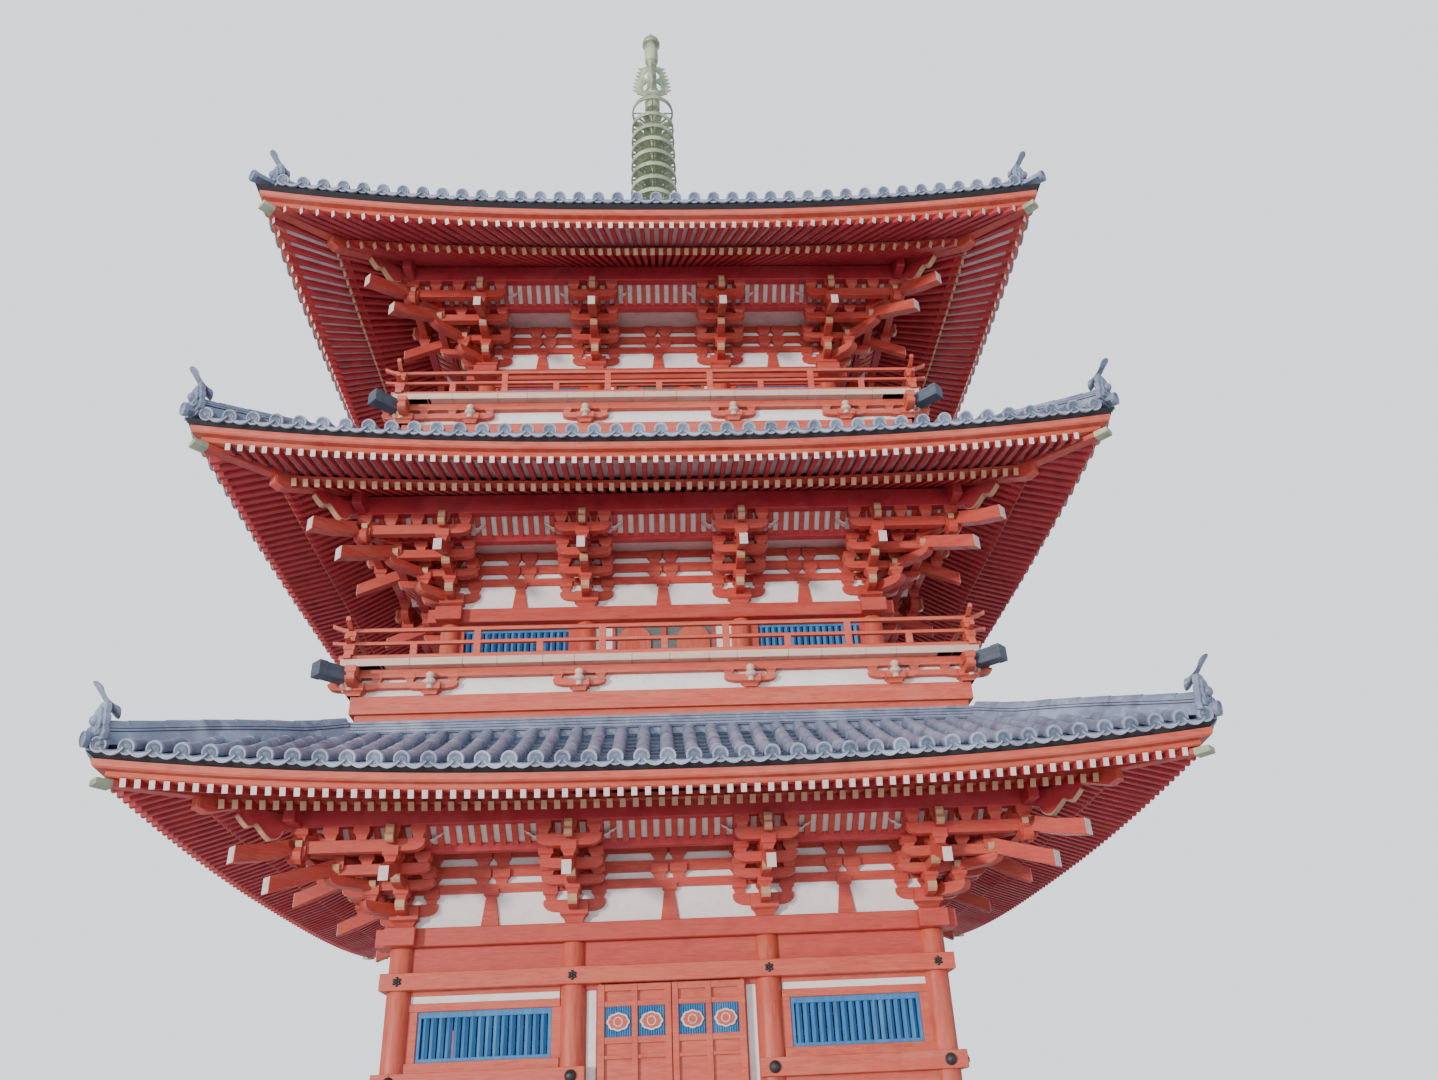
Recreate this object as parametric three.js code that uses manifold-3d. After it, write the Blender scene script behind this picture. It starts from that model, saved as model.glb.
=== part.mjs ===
// A three-storied timber pagoda: podium, hollow ground storey with a pair of hinged front doors,
// two upper storeys with balconies, three tiled roofs on stepped brackets, and a bronze finial.
// Millimetres, +Z up. The origin is at ground level under the centre of the plan, and the front faces -Y.

import * as THREE from 'three';
import { mergeVertices } from 'three/addons/utils/BufferGeometryUtils.js';
import Module from 'manifold-3d';

const wasm = await Module();
wasm.setup();

// The module of the whole building is the spacing of its rafters.
const RAFTER = 120;
const GAP = 0.3;

// Podium, floor and steps.
const PODIUM_HALF = 3700;
const PODIUM_TOP = 800;
const COPING_OVERHANG = 60;
const COPING_HEIGHT = 140;
const FLOOR_TOP = 960;
const STEP_COUNT = 4;
const STEP_GOING = 300;
const STEP_WIDTH = 2400;

// Tie beams of the ground storey: half width of their outer faces, and heights.
const TIE_FACE = 2810;
const TIE_BACK = 15;
const WAIST_TIE = [2125, 2288];
const UPPER_TIE = [3012, 3170];
const WALL_THICKNESS = 105;

// Side-bay windows of the ground storey, as heights, and the red frame kept beside each opening.
const WINDOW_LOW = 2393;
const WINDOW_HIGH = 2831;
const WINDOW_MARGIN = 72;
const WAIST_TIE_END = 830;
const HEAD_TIE = 50;

// Doors: a pair of leaves hung on pivots in front of the door posts.
const DOOR_OPENING_HALF = 690;
const LEAF_OUTER = 717;
const LEAF_MEETING_GAP = 3;
const LEAF_THICKNESS = 50;
const LEAF_STAND_OFF = 60;
const LEAF_LOW = 970;
const LEAF_HIGH = 3002;
const PIVOT_RADIUS = 18;
const PIVOT_INSET = 25;
const DOOR_PANEL_DEPTH = 12;
const DOOR_STILE = 55;
const DOOR_RAILS = [LEAF_LOW, 1690, 2480, LEAF_HIGH];
const DOOR_HEAD = 40;
const DOOR_SILL = 60;

// Wall plates, and the walls of the upper storeys.
const PLATE_HALF_WIDTH = 150;
const PLATE_PAST = 250;
const FOOT_BAND = { out: 170, height: 105 };
const UPPER_WINDOW_SILL = 190;
const UPPER_TIE_DEPTH = 40;
const UPPER_DOOR_HALF = 460;
const UPPER_DOOR_SILL = 110;

// The storeys: half width at the pillar centres, half width of the centre bay, floor level, and
// underside and top of the wall plate.
const STOREYS = [
  { name: 'first', half: 22 * RAFTER, bay: 8 * RAFTER, floor: FLOOR_TOP, plateLow: 3410, plateTop: 3585 },
  { name: 'second', half: 20.5 * RAFTER, bay: 7.5 * RAFTER, floor: 6215, plateLow: 6975, plateTop: 7145 },
  { name: 'third', half: 19 * RAFTER, bay: 7 * RAFTER, floor: 9760, plateLow: 10570, plateTop: 10745 },
];
const PILLARS = {
  first: { radius: 123, sides: 12 },
  second: { radius: 115, sides: 8 },
  third: { radius: 110, sides: 8 },
};

// The roofs. Heights are above the top of the storey's wall plate: the top of the fascia and the
// underside of the base rafters' tips, both at the middle of a side. Reach is the fascia's half width
// there. Crown is where the tiles end: half width and height.
const ROOFS = [
  { name: 'first', reach: 4870, fasciaTop: 890, baseTip: 756, crownHalf: 3250, crownTop: 1880, lift: 230 },
  { name: 'second', reach: 4740, fasciaTop: 859, baseTip: 689, crownHalf: 3090, crownTop: 1865, lift: 243 },
  { name: 'third', reach: 4615, fasciaTop: 663, baseTip: 591, crownHalf: 330, crownTop: 3730, lift: 279 },
];
const CORNER_SPREAD = 50;
const CURVE_POWER = 2.5;
const SIDE_STEPS = 4;
const STEP_SPREAD = 0.55;

// The eaves, from the purlin out. Widths are measured from the pillar centres or the fascia.
const STEP_OUT = 290;
const PURLIN_FRONT = 960;
const PURLIN_BACK = 780;
const PURLIN_LOW = 815;
const RAFTER_SEAT = 1045;
const BASE_TIP_BACK = 690;
const BASE_RAFTER = 85;
const RAFTER_DEPTH = 110;
const EAVE_BAR = 55;
const FLYING_TIP_BACK = 100;
const FLYING_RAFTER = 75;
const LOWER_FASCIA = 50;
const UPPER_FASCIA = 71;
const LOWER_FASCIA_BACK = 90;
const FASCIA_BACK = 170;
const TILE_BED = 48;
const TILE_OVERHANG = 60;
const TILE_EDGE = 155;
const TILE_SAG = 1.22;

// The tile courses where a roof ends: against a balcony's base, or under the finial.
const CROWN_BAND = { width: 130, height: 70, drop: 60 };
const CROWN_CAP = { width: 175, height: 225 - GAP, drop: 170 };

// Balconies: half width of the deck's edge, and the base wall under it, measured down from the deck.
const BALCONIES = [
  { name: 'second', deckHalf: 3398, floor: 6215, wallHalf: 3250 },
  { name: 'third', deckHalf: 3238, floor: 9760, wallHalf: 3090 },
];
const DECK_THICKNESS = 85;
const BASE_WALL = 120;
const BASE_BEAM_LOW = -177;
const RAIL_WIDTH = 50;
const RAIL_INSET = 70;
const RAIL_BAYS = 10;
const RAILS = [
  { low: GAP, high: 60, past: 150 },
  { low: 175, high: 215, past: 190 },
  { low: 320, high: 370, past: 230 },
];

// The finial.
const FINIAL_FOOT = 14700;
const RING_COUNT = 9;
const RING_SPACING = 306;
const TOP_RING = 18874;
const FINIAL_TIP = 20860;
const SHAFT_RADIUS = 60;

const VERMILION = '#c95a43';
const DEEP_VERMILION = '#a8322c';
const PLASTER = '#ece4da';
const STONE = '#a9a49a';
const TILE_GREY = '#8790a0';
const WEATHERED_WOOD = '#cfae94';
const BRONZE = '#8f9a78';

// Solids: a closed geometry becomes a solid that can be joined or cut, and back.

function toSolid(geometry) {
  const bare = geometry.clone();
  bare.deleteAttribute('normal');
  bare.deleteAttribute('uv');
  const merged = mergeVertices(bare, 1e-3);
  const kept = [];
  const index = merged.index.array;
  for (let i = 0; i < index.length; i += 3) {
    const corners = [index[i], index[i + 1], index[i + 2]];
    if (new Set(corners).size === 3) kept.push(...corners);
  }
  return new wasm.Manifold(new wasm.Mesh({
    numProp: 3,
    vertProperties: new Float32Array(merged.attributes.position.array),
    triVerts: new Uint32Array(kept),
  }));
}

function join(geometries) {
  const solids = geometries.map((item) => (item.isBufferGeometry ? toSolid(item) : item));
  return solids.reduce((whole, next) => whole.add(next));
}

function cut(solid, geometries) {
  const solids = [solid, ...geometries].map((item) => (item.isBufferGeometry ? toSolid(item) : item));
  return solids.reduce((left, next) => left.subtract(next));
}

function toGeometry(solid) {
  const mesh = solid.getMesh();
  const geometry = new THREE.BufferGeometry();
  geometry.setAttribute('position', new THREE.BufferAttribute(mesh.vertProperties, 3));
  geometry.setIndex(new THREE.BufferAttribute(mesh.triVerts, 1));
  const faceted = geometry.toNonIndexed();
  faceted.computeVertexNormals();
  return faceted;
}

// A solid lifted and widened by the gap kept between pieces, to cut away what lies on it.
function raised(solid) {
  const wider = 1 + GAP / 4000;
  return toGeometry(solid).scale(wider, wider, 1).translate(0, 0, GAP);
}

// Basic shapes.

function block(low, high) {
  const size = high.map((value, axis) => value - low[axis]);
  const geometry = new THREE.BoxGeometry(...size);
  return geometry.translate(...low.map((value, axis) => value + size[axis] / 2));
}

function column(x, y, radius, low, high, sides = 10) {
  const geometry = new THREE.CylinderGeometry(radius, radius, high - low, sides);
  geometry.rotateX(Math.PI / 2);
  return geometry.translate(x, y, (low + high) / 2);
}

// A plate standing across the front, from an outline of [x, z] points, centred on y.
function frontPlate(outline, y, thickness) {
  const shape = new THREE.Shape(outline.map(([x, z]) => new THREE.Vector2(x, z)));
  const geometry = new THREE.ExtrudeGeometry(shape, { depth: thickness, bevelEnabled: false });
  geometry.rotateX(Math.PI / 2);
  return geometry.translate(0, y + thickness / 2, 0);
}

// A plate standing out from the front, from an outline of [distance out, z] points, centred on x.
function outwardPlate(outline, x, wallHalf, thickness) {
  const plate = frontPlate(outline, 0, thickness);
  plate.rotateZ(-Math.PI / 2);
  return plate.translate(x, -wallHalf, 0);
}

// The same plate turned to stand out along the diagonal at the front left corner; its outline's first
// numbers are measured along one side of the building, not along the diagonal.
function diagonalPlate(outline, wallHalf, thickness) {
  const along = outline.map(([out, z]) => [out * Math.SQRT2, z]);
  const plate = frontPlate(along, 0, thickness);
  plate.rotateZ(-Math.PI * 0.75);
  return plate.translate(-wallHalf, -wallHalf, 0);
}

function quarterTurns(geometries) {
  const list = Array.isArray(geometries) ? geometries : [geometries];
  return [0, 1, 2, 3].flatMap((turn) => list.map((item) => item.clone().rotateZ(turn * Math.PI / 2)));
}

function mirrored(geometries) {
  return geometries.map((item) => {
    const copy = item.clone().scale(-1, 1, 1);
    const source = copy.index ? copy : mergeVertices(copy);
    const index = source.index.array;
    for (let i = 0; i < index.length; i += 3) [index[i], index[i + 1]] = [index[i + 1], index[i]];
    return source;
  });
}

// How far a corner is raised and spread: nothing at the middle of a side or at the purlin, all of it
// at the corner of the eave.
function eaveBend(roof, storey) {
  const start = storey.half + PURLIN_FRONT;
  return (across, half) => {
    const share = Math.abs(across) ** CURVE_POWER * Math.max(0, (half - start) / (roof.reach - start));
    return { rise: roof.lift * share, spread: CORNER_SPREAD * share };
  };
}

// A ring round the square plan, from a closed profile of [half width, height] points.
function squareRing(profile, bend = null) {
  const points = [...profile, profile[0]].map(([half, height]) => new THREE.Vector2(half, height));
  const steps = bend ? SIDE_STEPS : 1;
  const ring = new THREE.LatheGeometry(points, 4 * steps, Math.PI / 4);
  ring.rotateX(Math.PI / 2);
  const position = ring.attributes.position;
  for (let i = 0; i < position.count; i += 1) {
    const x = position.getX(i);
    const y = position.getY(i);
    const half = Math.hypot(x, y);
    const angle = Math.atan2(x, -y);
    const side = Math.round(angle / (Math.PI / 2)) * (Math.PI / 2);
    const slant = Math.tan(angle - side);
    const across = bend ? Math.sign(slant) * Math.abs(slant) ** STEP_SPREAD : slant;
    const { rise, spread } = bend ? bend(across, half) : { rise: 0, spread: 0 };
    const out = half + spread;
    const placed = new THREE.Vector2(across * out, -out).rotateAround(new THREE.Vector2(), side);
    position.setXYZ(i, placed.x, placed.y, position.getZ(i) + rise);
  }
  return ring;
}

function band(halfIn, halfOut, low, high) {
  return squareRing([[halfIn, low], [halfOut, low], [halfOut, high], [halfIn, high]]);
}

function pillarColumns(storey, low, high, growth = 0) {
  const { radius, sides } = PILLARS[storey.name];
  const front = [-storey.half, -storey.bay, storey.bay].map((x) => (
    column(x, -storey.half, radius + growth, low, high, sides)
  ));
  return quarterTurns(front);
}

// Podium and steps.

function podium() {
  const bottom = PODIUM_HALF + COPING_OVERHANG;
  const profile = [
    [0, 0], [bottom, 0], [bottom, COPING_HEIGHT], [PODIUM_HALF, COPING_HEIGHT],
    [PODIUM_HALF, PODIUM_TOP - COPING_HEIGHT], [bottom, PODIUM_TOP - COPING_HEIGHT],
    [bottom, PODIUM_TOP], [0, PODIUM_TOP],
  ];
  const points = profile.map(([half, height]) => new THREE.Vector2(half * Math.SQRT2, height));
  return new THREE.LatheGeometry(points, 4, Math.PI / 4).rotateX(Math.PI / 2);
}

function steps() {
  const rise = PODIUM_TOP / (STEP_COUNT + 1);
  const start = PODIUM_HALF + COPING_OVERHANG + GAP;
  const treads = [];
  for (let i = 0; i < STEP_COUNT; i += 1) {
    const depth = STEP_GOING * (STEP_COUNT - i);
    treads.push(block([-STEP_WIDTH / 2, -start - depth, 0], [STEP_WIDTH / 2, -start, rise * (i + 1)]));
  }
  return join(treads);
}

// Walls, pillars and doors of a storey.

function floorSlab() {
  return block([-TIE_FACE, -TIE_FACE, PODIUM_TOP + GAP], [TIE_FACE, TIE_FACE, FLOOR_TOP]);
}

function pillars(storey, tieLow) {
  const low = storey.floor + GAP;
  const high = storey.plateLow - GAP;
  const ties = band(storey.half - HEAD_TIE, storey.half + HEAD_TIE, tieLow, high);
  return join([...pillarColumns(storey, low, high), ties]);
}

function upperTie(storey) {
  const ring = band(storey.half + TIE_BACK, TIE_FACE, ...UPPER_TIE);
  return cut(ring, pillarColumns(storey, UPPER_TIE[0] - 10, UPPER_TIE[1] + 10, GAP));
}

// The wall of the front's right bay, with its window. It ends flat against the flanks of the pillars.
function bayWall(storey) {
  const { half, bay, floor } = storey;
  const { radius } = PILLARS[storey.name];
  const face = -half - TIE_BACK + GAP;
  const panel = block(
    [bay + radius + GAP, face, floor + GAP],
    [half - radius - GAP, -half - TIE_BACK + WALL_THICKNESS, UPPER_TIE[1]],
  );
  const opening = block(
    [bay + radius + WINDOW_MARGIN, -half - 200, WINDOW_LOW],
    [half - radius - WINDOW_MARGIN, -half + 200, WINDOW_HIGH],
  );
  return cut(panel, [opening]);
}

// The waist tie beam that runs round the front right corner, notched over its three pillars.
function waistTie(storey) {
  const back = storey.half + TIE_BACK;
  const [low, high] = WAIST_TIE;
  const front = block([WAIST_TIE_END, -TIE_FACE, low], [TIE_FACE, -back, high]);
  const side = block([back, -TIE_FACE, low], [TIE_FACE, -WAIST_TIE_END, high]);
  return cut(join([front, side]), pillarColumns(storey, 0, 5000, GAP));
}

function doorFrame(storey) {
  const front = -storey.half - TIE_BACK + GAP;
  const back = -storey.half + WALL_THICKNESS - TIE_BACK;
  const low = storey.floor + GAP;
  const posts = [-1, 1].map((side) => {
    const xs = [side * DOOR_OPENING_HALF, side * storey.bay].sort((a, b) => a - b);
    return block([xs[0], front, low], [xs[1], back, UPPER_TIE[1]]);
  });
  const head = block([-storey.bay, front, LEAF_HIGH - DOOR_HEAD], [storey.bay, back, UPPER_TIE[1]]);
  const sill = block([-storey.bay, front, low], [storey.bay, back, low + DOOR_SILL]);
  return cut(join([...posts, head, sill]), pillarColumns(storey, 0, 5000, GAP));
}

// One door leaf in front of the posts, on the side given: a plate with sunk panels, and a pivot at its
// outer edge that stands on the floor and reaches up to the tie beam.
function doorLeaf(storey, side) {
  const middle = -storey.half - LEAF_STAND_OFF;
  const inner = LEAF_MEETING_GAP;
  const plate = block(
    [inner, middle - LEAF_THICKNESS / 2, LEAF_LOW],
    [LEAF_OUTER, middle + LEAF_THICKNESS / 2, LEAF_HIGH],
  );
  const width = LEAF_OUTER - inner;
  const columnWidth = (width - 3 * DOOR_STILE) / 2;
  const sinks = [];
  for (let i = 0; i < DOOR_RAILS.length - 1; i += 1) {
    for (const start of [inner + DOOR_STILE, inner + 2 * DOOR_STILE + columnWidth]) {
      sinks.push(block(
        [start, middle - LEAF_THICKNESS / 2 - 10, DOOR_RAILS[i] + DOOR_STILE],
        [start + columnWidth, middle - LEAF_THICKNESS / 2 + DOOR_PANEL_DEPTH, DOOR_RAILS[i + 1] - 10],
      ));
    }
  }
  const pivot = LEAF_OUTER - PIVOT_INSET;
  const pin = column(pivot, middle, PIVOT_RADIUS, storey.floor + GAP, UPPER_TIE[0] - GAP, 8);
  const solid = join([cut(plate, sinks), pin]);
  return side > 0 ? toGeometry(solid) : mirrored([toGeometry(solid)])[0];
}

// The closed doors of a side that isn't the front: the frame and both leaves in one.
function closedDoors(storey) {
  const middle = -storey.half - LEAF_STAND_OFF;
  const leaves = block(
    [-LEAF_OUTER, middle - LEAF_THICKNESS / 2, LEAF_LOW],
    [LEAF_OUTER, -storey.half, LEAF_HIGH],
  );
  const seam = block(
    [-LEAF_MEETING_GAP, middle - LEAF_THICKNESS, LEAF_LOW - 5],
    [LEAF_MEETING_GAP, middle - LEAF_THICKNESS / 2 + DOOR_PANEL_DEPTH, LEAF_HIGH + 5],
  );
  return join([doorFrame(storey), cut(leaves, [seam])]);
}

// The wall plate: a square ring whose timbers cross and run past each other at the corners.
function wallPlate(storey) {
  const { half, plateLow, plateTop } = storey;
  const ring = band(half - PLATE_HALF_WIDTH, half + PLATE_HALF_WIDTH, plateLow, plateTop);
  const timber = block(
    [-half - PLATE_PAST, -half - PLATE_HALF_WIDTH, plateLow],
    [half + PLATE_PAST, -half + PLATE_HALF_WIDTH, plateTop],
  );
  return join([ring, ...quarterTurns(timber)]);
}

// The walls of an upper storey: a ring with window openings and the closed centre doors, tied by a
// beam that runs in front of the pillars' feet.
function upperWalls(storey) {
  const { half, bay } = storey;
  const { radius } = PILLARS[storey.name];
  const low = storey.floor + GAP;
  const high = storey.plateLow - UPPER_TIE_DEPTH - GAP;
  const head = high - 20;
  const wall = band(half - WALL_THICKNESS + TIE_BACK, half + TIE_BACK, low, high);
  const foot = band(half, half + FOOT_BAND.out, low, low + FOOT_BAND.height);
  const start = bay + radius + WINDOW_MARGIN;
  const end = half - radius - WINDOW_MARGIN;
  const openings = [-1, 1].map((side) => {
    const xs = [side * start, side * end].sort((a, b) => a - b);
    return block([xs[0], -half - 90, low + UPPER_WINDOW_SILL], [xs[1], -half + 200, head]);
  });
  const doorSink = block(
    [-UPPER_DOOR_HALF, -half - 100, low + UPPER_DOOR_SILL],
    [UPPER_DOOR_HALF, -half + 10, head],
  );
  return cut(join([wall, foot]), [
    ...quarterTurns([...openings, doorSink]),
    ...pillarColumns(storey, low - 10, high + 10, GAP),
  ]);
}

// Brackets: the stepped sets over every pillar, with the beams along the wall that join them.
// Heights are above the wall plate's top, distances out are from the pillar centres.

const ARM_WIDTH = 105;
const CROSS_ARM = 300;
const CROSS_FOOT = 200;
const BLOCK_FOOT = 125;
const TAIL_TIP = 1125;
const STEP_BEAM = [583, 693];

function rafterUnderside(roof, storey) {
  const tip = roof.reach - BASE_TIP_BACK;
  const slope = (RAFTER_SEAT - roof.baseTip) / (tip - storey.half - PURLIN_FRONT);
  return (half) => roof.baseTip + (tip - half) * slope;
}

// The stair-like outline of a bracket set seen from the side, ending in the tail rafter's tip.
function bracketOutline() {
  const top = STEP_BEAM[0] - GAP;
  return [
    [0, GAP], [BLOCK_FOOT, GAP], [BLOCK_FOOT, 150], [2 * STEP_OUT + 75, 430],
    [TAIL_TIP - 40, 258], [TAIL_TIP, 390], [2 * STEP_OUT + 60, top], [0, top],
  ];
}

// An arm along the wall with its bearing blocks, narrower at its foot.
function crossArm(x, wallHalf, out, low, high, foot) {
  const outline = [[x - foot, low], [x + foot, low], [x + CROSS_ARM, high], [x - CROSS_ARM, high]];
  return frontPlate(outline, -wallHalf - out, ARM_WIDTH + 20);
}

function purlinArm(x, wallHalf) {
  return crossArm(x, wallHalf, 3 * STEP_OUT, 430, PURLIN_LOW - GAP, 60);
}

function bracketSet(x, wallHalf) {
  return [
    outwardPlate(bracketOutline(), x, wallHalf, ARM_WIDTH),
    crossArm(x, wallHalf, 2 * STEP_OUT, 420, STEP_BEAM[0] - GAP, CROSS_FOOT),
    purlinArm(x, wallHalf),
  ];
}

// The diagonal arms of a corner, with two tail rafters one over the other.
function cornerDiagonal(wallHalf) {
  const top = STEP_BEAM[0] - GAP;
  const outline = [
    [0, GAP], [110, GAP], [640, 430], [1060, 205], [1085, 320], [900, 450], [1320, 430], [1345, 550],
    [990, 700], [990, PURLIN_LOW - GAP], [830, PURLIN_LOW - GAP], [690, top], [0, top],
  ];
  return diagonalPlate(outline, wallHalf, 150);
}

function brackets(storey, roof) {
  const half = storey.half;
  const top = rafterUnderside(roof, storey)(half + 40) - GAP;
  const wall = band(half - 60, half + 40, GAP, top);
  const plate = outwardPlate(bracketOutline(), 0, half, ARM_WIDTH);
  const front = [
    ...bracketSet(-storey.bay, half),
    ...bracketSet(storey.bay, half),
    ...[-half, half].map((x) => plate.clone().translate(x, 0, 0)),
    cornerDiagonal(half),
  ];
  return join([wall, ...quarterTurns(front)]);
}

// The eave purlin, with the beam of the second step and the ceiling between it and the wall.
function eavePurlin(storey, roof) {
  const half = storey.half;
  const under = rafterUnderside(roof, storey);
  const beamBack = half + 2 * STEP_OUT - 50;
  const beamFront = half + 2 * STEP_OUT + 50;
  const wallFace = half + 40 + GAP;
  return squareRing([
    [wallFace, STEP_BEAM[1]], [beamBack, STEP_BEAM[1]], [beamBack, STEP_BEAM[0]], [beamFront, STEP_BEAM[0]],
    [beamFront, STEP_BEAM[1]], [half + PURLIN_BACK, PURLIN_LOW], [half + PURLIN_FRONT, PURLIN_LOW],
    [half + PURLIN_FRONT, under(half + PURLIN_FRONT) - GAP],
    [half + PURLIN_BACK, under(half + PURLIN_BACK) - GAP], [half + PURLIN_BACK, PURLIN_LOW + 50],
    [beamFront, STEP_BEAM[1] + 40], [wallFace, STEP_BEAM[1] + 40],
  ]);
}

// Roofs: rafters, fascia, tiles and ridges.

function roofLevels(roof, storey) {
  const flyingTip = roof.fasciaTop - FLYING_RAFTER - LOWER_FASCIA - UPPER_FASCIA;
  const tip = roof.reach - BASE_TIP_BACK;
  const flyingFoot = roof.baseTip + BASE_RAFTER + EAVE_BAR;
  const flyingOut = roof.reach - FLYING_TIP_BACK;
  return {
    flyingTip,
    tip,
    flyingFoot,
    flyingOut,
    under: rafterUnderside(roof, storey),
    bend: eaveBend(roof, storey),
  };
}

function rafters(storey, roof) {
  const { flyingTip, tip, flyingFoot, flyingOut, under, bend } = roofLevels(roof, storey);
  const inner = storey.half - 60;
  const seat = storey.half + PURLIN_FRONT;
  const ring = squareRing([
    [inner, under(inner)], [seat, under(seat)], [tip, roof.baseTip], [tip, flyingFoot],
    [flyingOut, flyingTip], [flyingOut, flyingTip + FLYING_RAFTER], [tip, flyingFoot + FLYING_RAFTER],
    [seat, under(seat) + RAFTER_DEPTH], [inner, under(inner) + RAFTER_DEPTH],
  ], bend);
  const cornerTip = tip + 70;
  const rise = (half) => bend(1, half).rise;
  const lowBase = under(tip) + rise(tip) - 45;
  const flyingEnd = roof.reach + 10;
  const hip = [
    [PURLIN_FRONT + 60, under(seat) - 25], [cornerTip - storey.half, lowBase],
    [cornerTip - storey.half, lowBase + 120], [flyingEnd - storey.half, flyingTip + rise(flyingEnd) - 35],
    [flyingEnd - storey.half, flyingTip + rise(flyingEnd) + 22], [tip - storey.half, lowBase + 170],
    [PURLIN_FRONT + 60, under(seat) + 80],
  ];
  return join([ring, ...quarterTurns(diagonalPlate(hip, storey.half, 150))]);
}

// The two boards along the eave. They lie on the flying rafters, so the rafters' own curve is cut away.
function fascia(storey, roof) {
  const { flyingTip, bend } = roofLevels(roof, storey);
  const low = flyingTip + FLYING_RAFTER + GAP;
  const split = low + LOWER_FASCIA;
  const ring = squareRing([
    [roof.reach - FASCIA_BACK, low], [roof.reach - LOWER_FASCIA_BACK, low],
    [roof.reach - LOWER_FASCIA_BACK, split], [roof.reach, split],
    [roof.reach, roof.fasciaTop], [roof.reach - FASCIA_BACK, roof.fasciaTop],
  ], bend);
  return cut(ring, [raised(rafters(storey, roof))]);
}

function tileSurface(roof) {
  const edge = roof.reach + TILE_OVERHANG;
  const low = roof.fasciaTop + TILE_EDGE;
  return (share) => [
    edge + (roof.crownHalf + GAP - edge) * share,
    low + (roof.crownTop - low) * Math.max(share, 0) ** TILE_SAG,
  ];
}

function tiles(storey, roof, growth = 0) {
  const surface = tileSurface(roof);
  const shares = [0, 0.3, 0.65, 1];
  const upper = shares.map(surface).map(([half, height]) => [half, height + growth]);
  const depth = 150;
  const lower = shares.slice(1).reverse().map(surface).map(([half, height]) => [half, height - depth]);
  const seat = roof.fasciaTop + GAP;
  const ring = squareRing([
    [roof.reach - FASCIA_BACK, seat], [roof.reach - 15, seat], [roof.reach - 15, seat + TILE_BED],
    [roof.reach + TILE_OVERHANG + growth, seat + TILE_BED], ...upper, ...lower,
  ], eaveBend(roof, storey));
  return cut(ring, [raised(fascia(storey, roof))]);
}

function ridges(storey, roof, withBand) {
  const surface = tileSurface(roof);
  const bend = eaveBend(roof, storey);
  const crest = (share, above) => {
    const [half, height] = surface(share);
    const { rise, spread } = bend(1, half);
    return [half + spread - storey.half, height + rise + above];
  };
  const shares = [0.03, 0.3, 0.65, 0.97];
  const heights = [230, 230, 225, 224];
  const top = shares.map((share, i) => crest(share, heights[i]));
  const bottom = shares.map((share) => crest(share, -60)).reverse();
  const [endOut, endTop] = top[0];
  const horn = [
    [endOut + 20, endTop - 150], [endOut + 20, endTop - 20], [endOut + 95, endTop + 130],
    [endOut + 20, endTop + 150], [endOut - 90, endTop - 10], [endOut - 90, endTop - 150],
  ];
  const nose = [crest(0.06, -30), crest(-0.012, -70), crest(-0.012, 20), crest(0.06, 60)];
  const outline = [...top, ...bottom];
  const hip = [
    diagonalPlate(outline, storey.half, 190),
    diagonalPlate(horn, storey.half, 110),
    diagonalPlate(nose, storey.half, 120),
  ];
  const pieces = quarterTurns(hip);
  const [crownHalf, crownTop] = surface(1);
  const { width, height, drop } = withBand ? CROWN_BAND : CROWN_CAP;
  const inner = crownHalf + 6;
  pieces.push(squareRing([
    [inner, crownTop - 100], [inner + width, crownTop - 100 - drop],
    [inner + width, crownTop + height], [inner, crownTop + height],
  ]));
  return cut(join(pieces), [tiles(storey, roof, GAP)]);
}

// Balconies.

// The wall under a balcony, standing on the rafters of the roof below. Heights are from the deck's top.
function balconyBase(balcony, storeyBelow, roofBelow) {
  const half = balcony.wallHalf;
  const back = half - BASE_WALL;
  const under = rafterUnderside(roofBelow, storeyBelow);
  const foot = (at) => under(at) + RAFTER_DEPTH + GAP + storeyBelow.plateTop - balcony.floor;
  const top = -DECK_THICKNESS - GAP;
  return squareRing([
    [back, foot(back)], [half, foot(half)], [half, BASE_BEAM_LOW], [half + 45, BASE_BEAM_LOW],
    [half + 45, top], [back, top],
  ]);
}

function deck(balcony) {
  const half = balcony.deckHalf;
  return block([-half, -half, -DECK_THICKNESS], [half, half, 0]);
}

// Three rails on each side, crossing at the corner posts. Between the posts every second strut stops at
// the middle rail.
function railing(balcony) {
  const line = balcony.deckHalf - RAIL_INSET;
  const half = RAIL_WIDTH / 2;
  const bars = RAILS.map(({ low, high, past }) => (
    block([-line - past, -line - half, low], [line + past, -line + half, high])
  ));
  const struts = [];
  for (let i = 1; i < RAIL_BAYS; i += 1) {
    const x = -line + (2 * line * i) / RAIL_BAYS;
    const top = i % 2 === 0 ? RAILS[2].low : RAILS[1].low;
    struts.push(block([x - half, -line - half, RAILS[0].high - 10], [x + half, -line + half, top + 10]));
  }
  const post = block([-line - half, -line - half, GAP], [-line + half, -line + half, RAILS[2].high]);
  return join(quarterTurns([...bars, ...struts, post]));
}

// Finial.

function turned(profile, sides = 10) {
  const points = profile.map(([radius, height]) => new THREE.Vector2(radius, height));
  return new THREE.LatheGeometry(points, sides).rotateX(Math.PI / 2);
}

function finialBase() {
  const points = [[0, 0], [420, 0], [420, 90], [360, 90], [360, 430], [430, 430], [430, 500], [0, 500]];
  const profile = points.map(([half, height]) => new THREE.Vector2(half * Math.SQRT2, height));
  return new THREE.LatheGeometry(profile, 4, Math.PI / 4).rotateX(Math.PI / 2);
}

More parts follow.
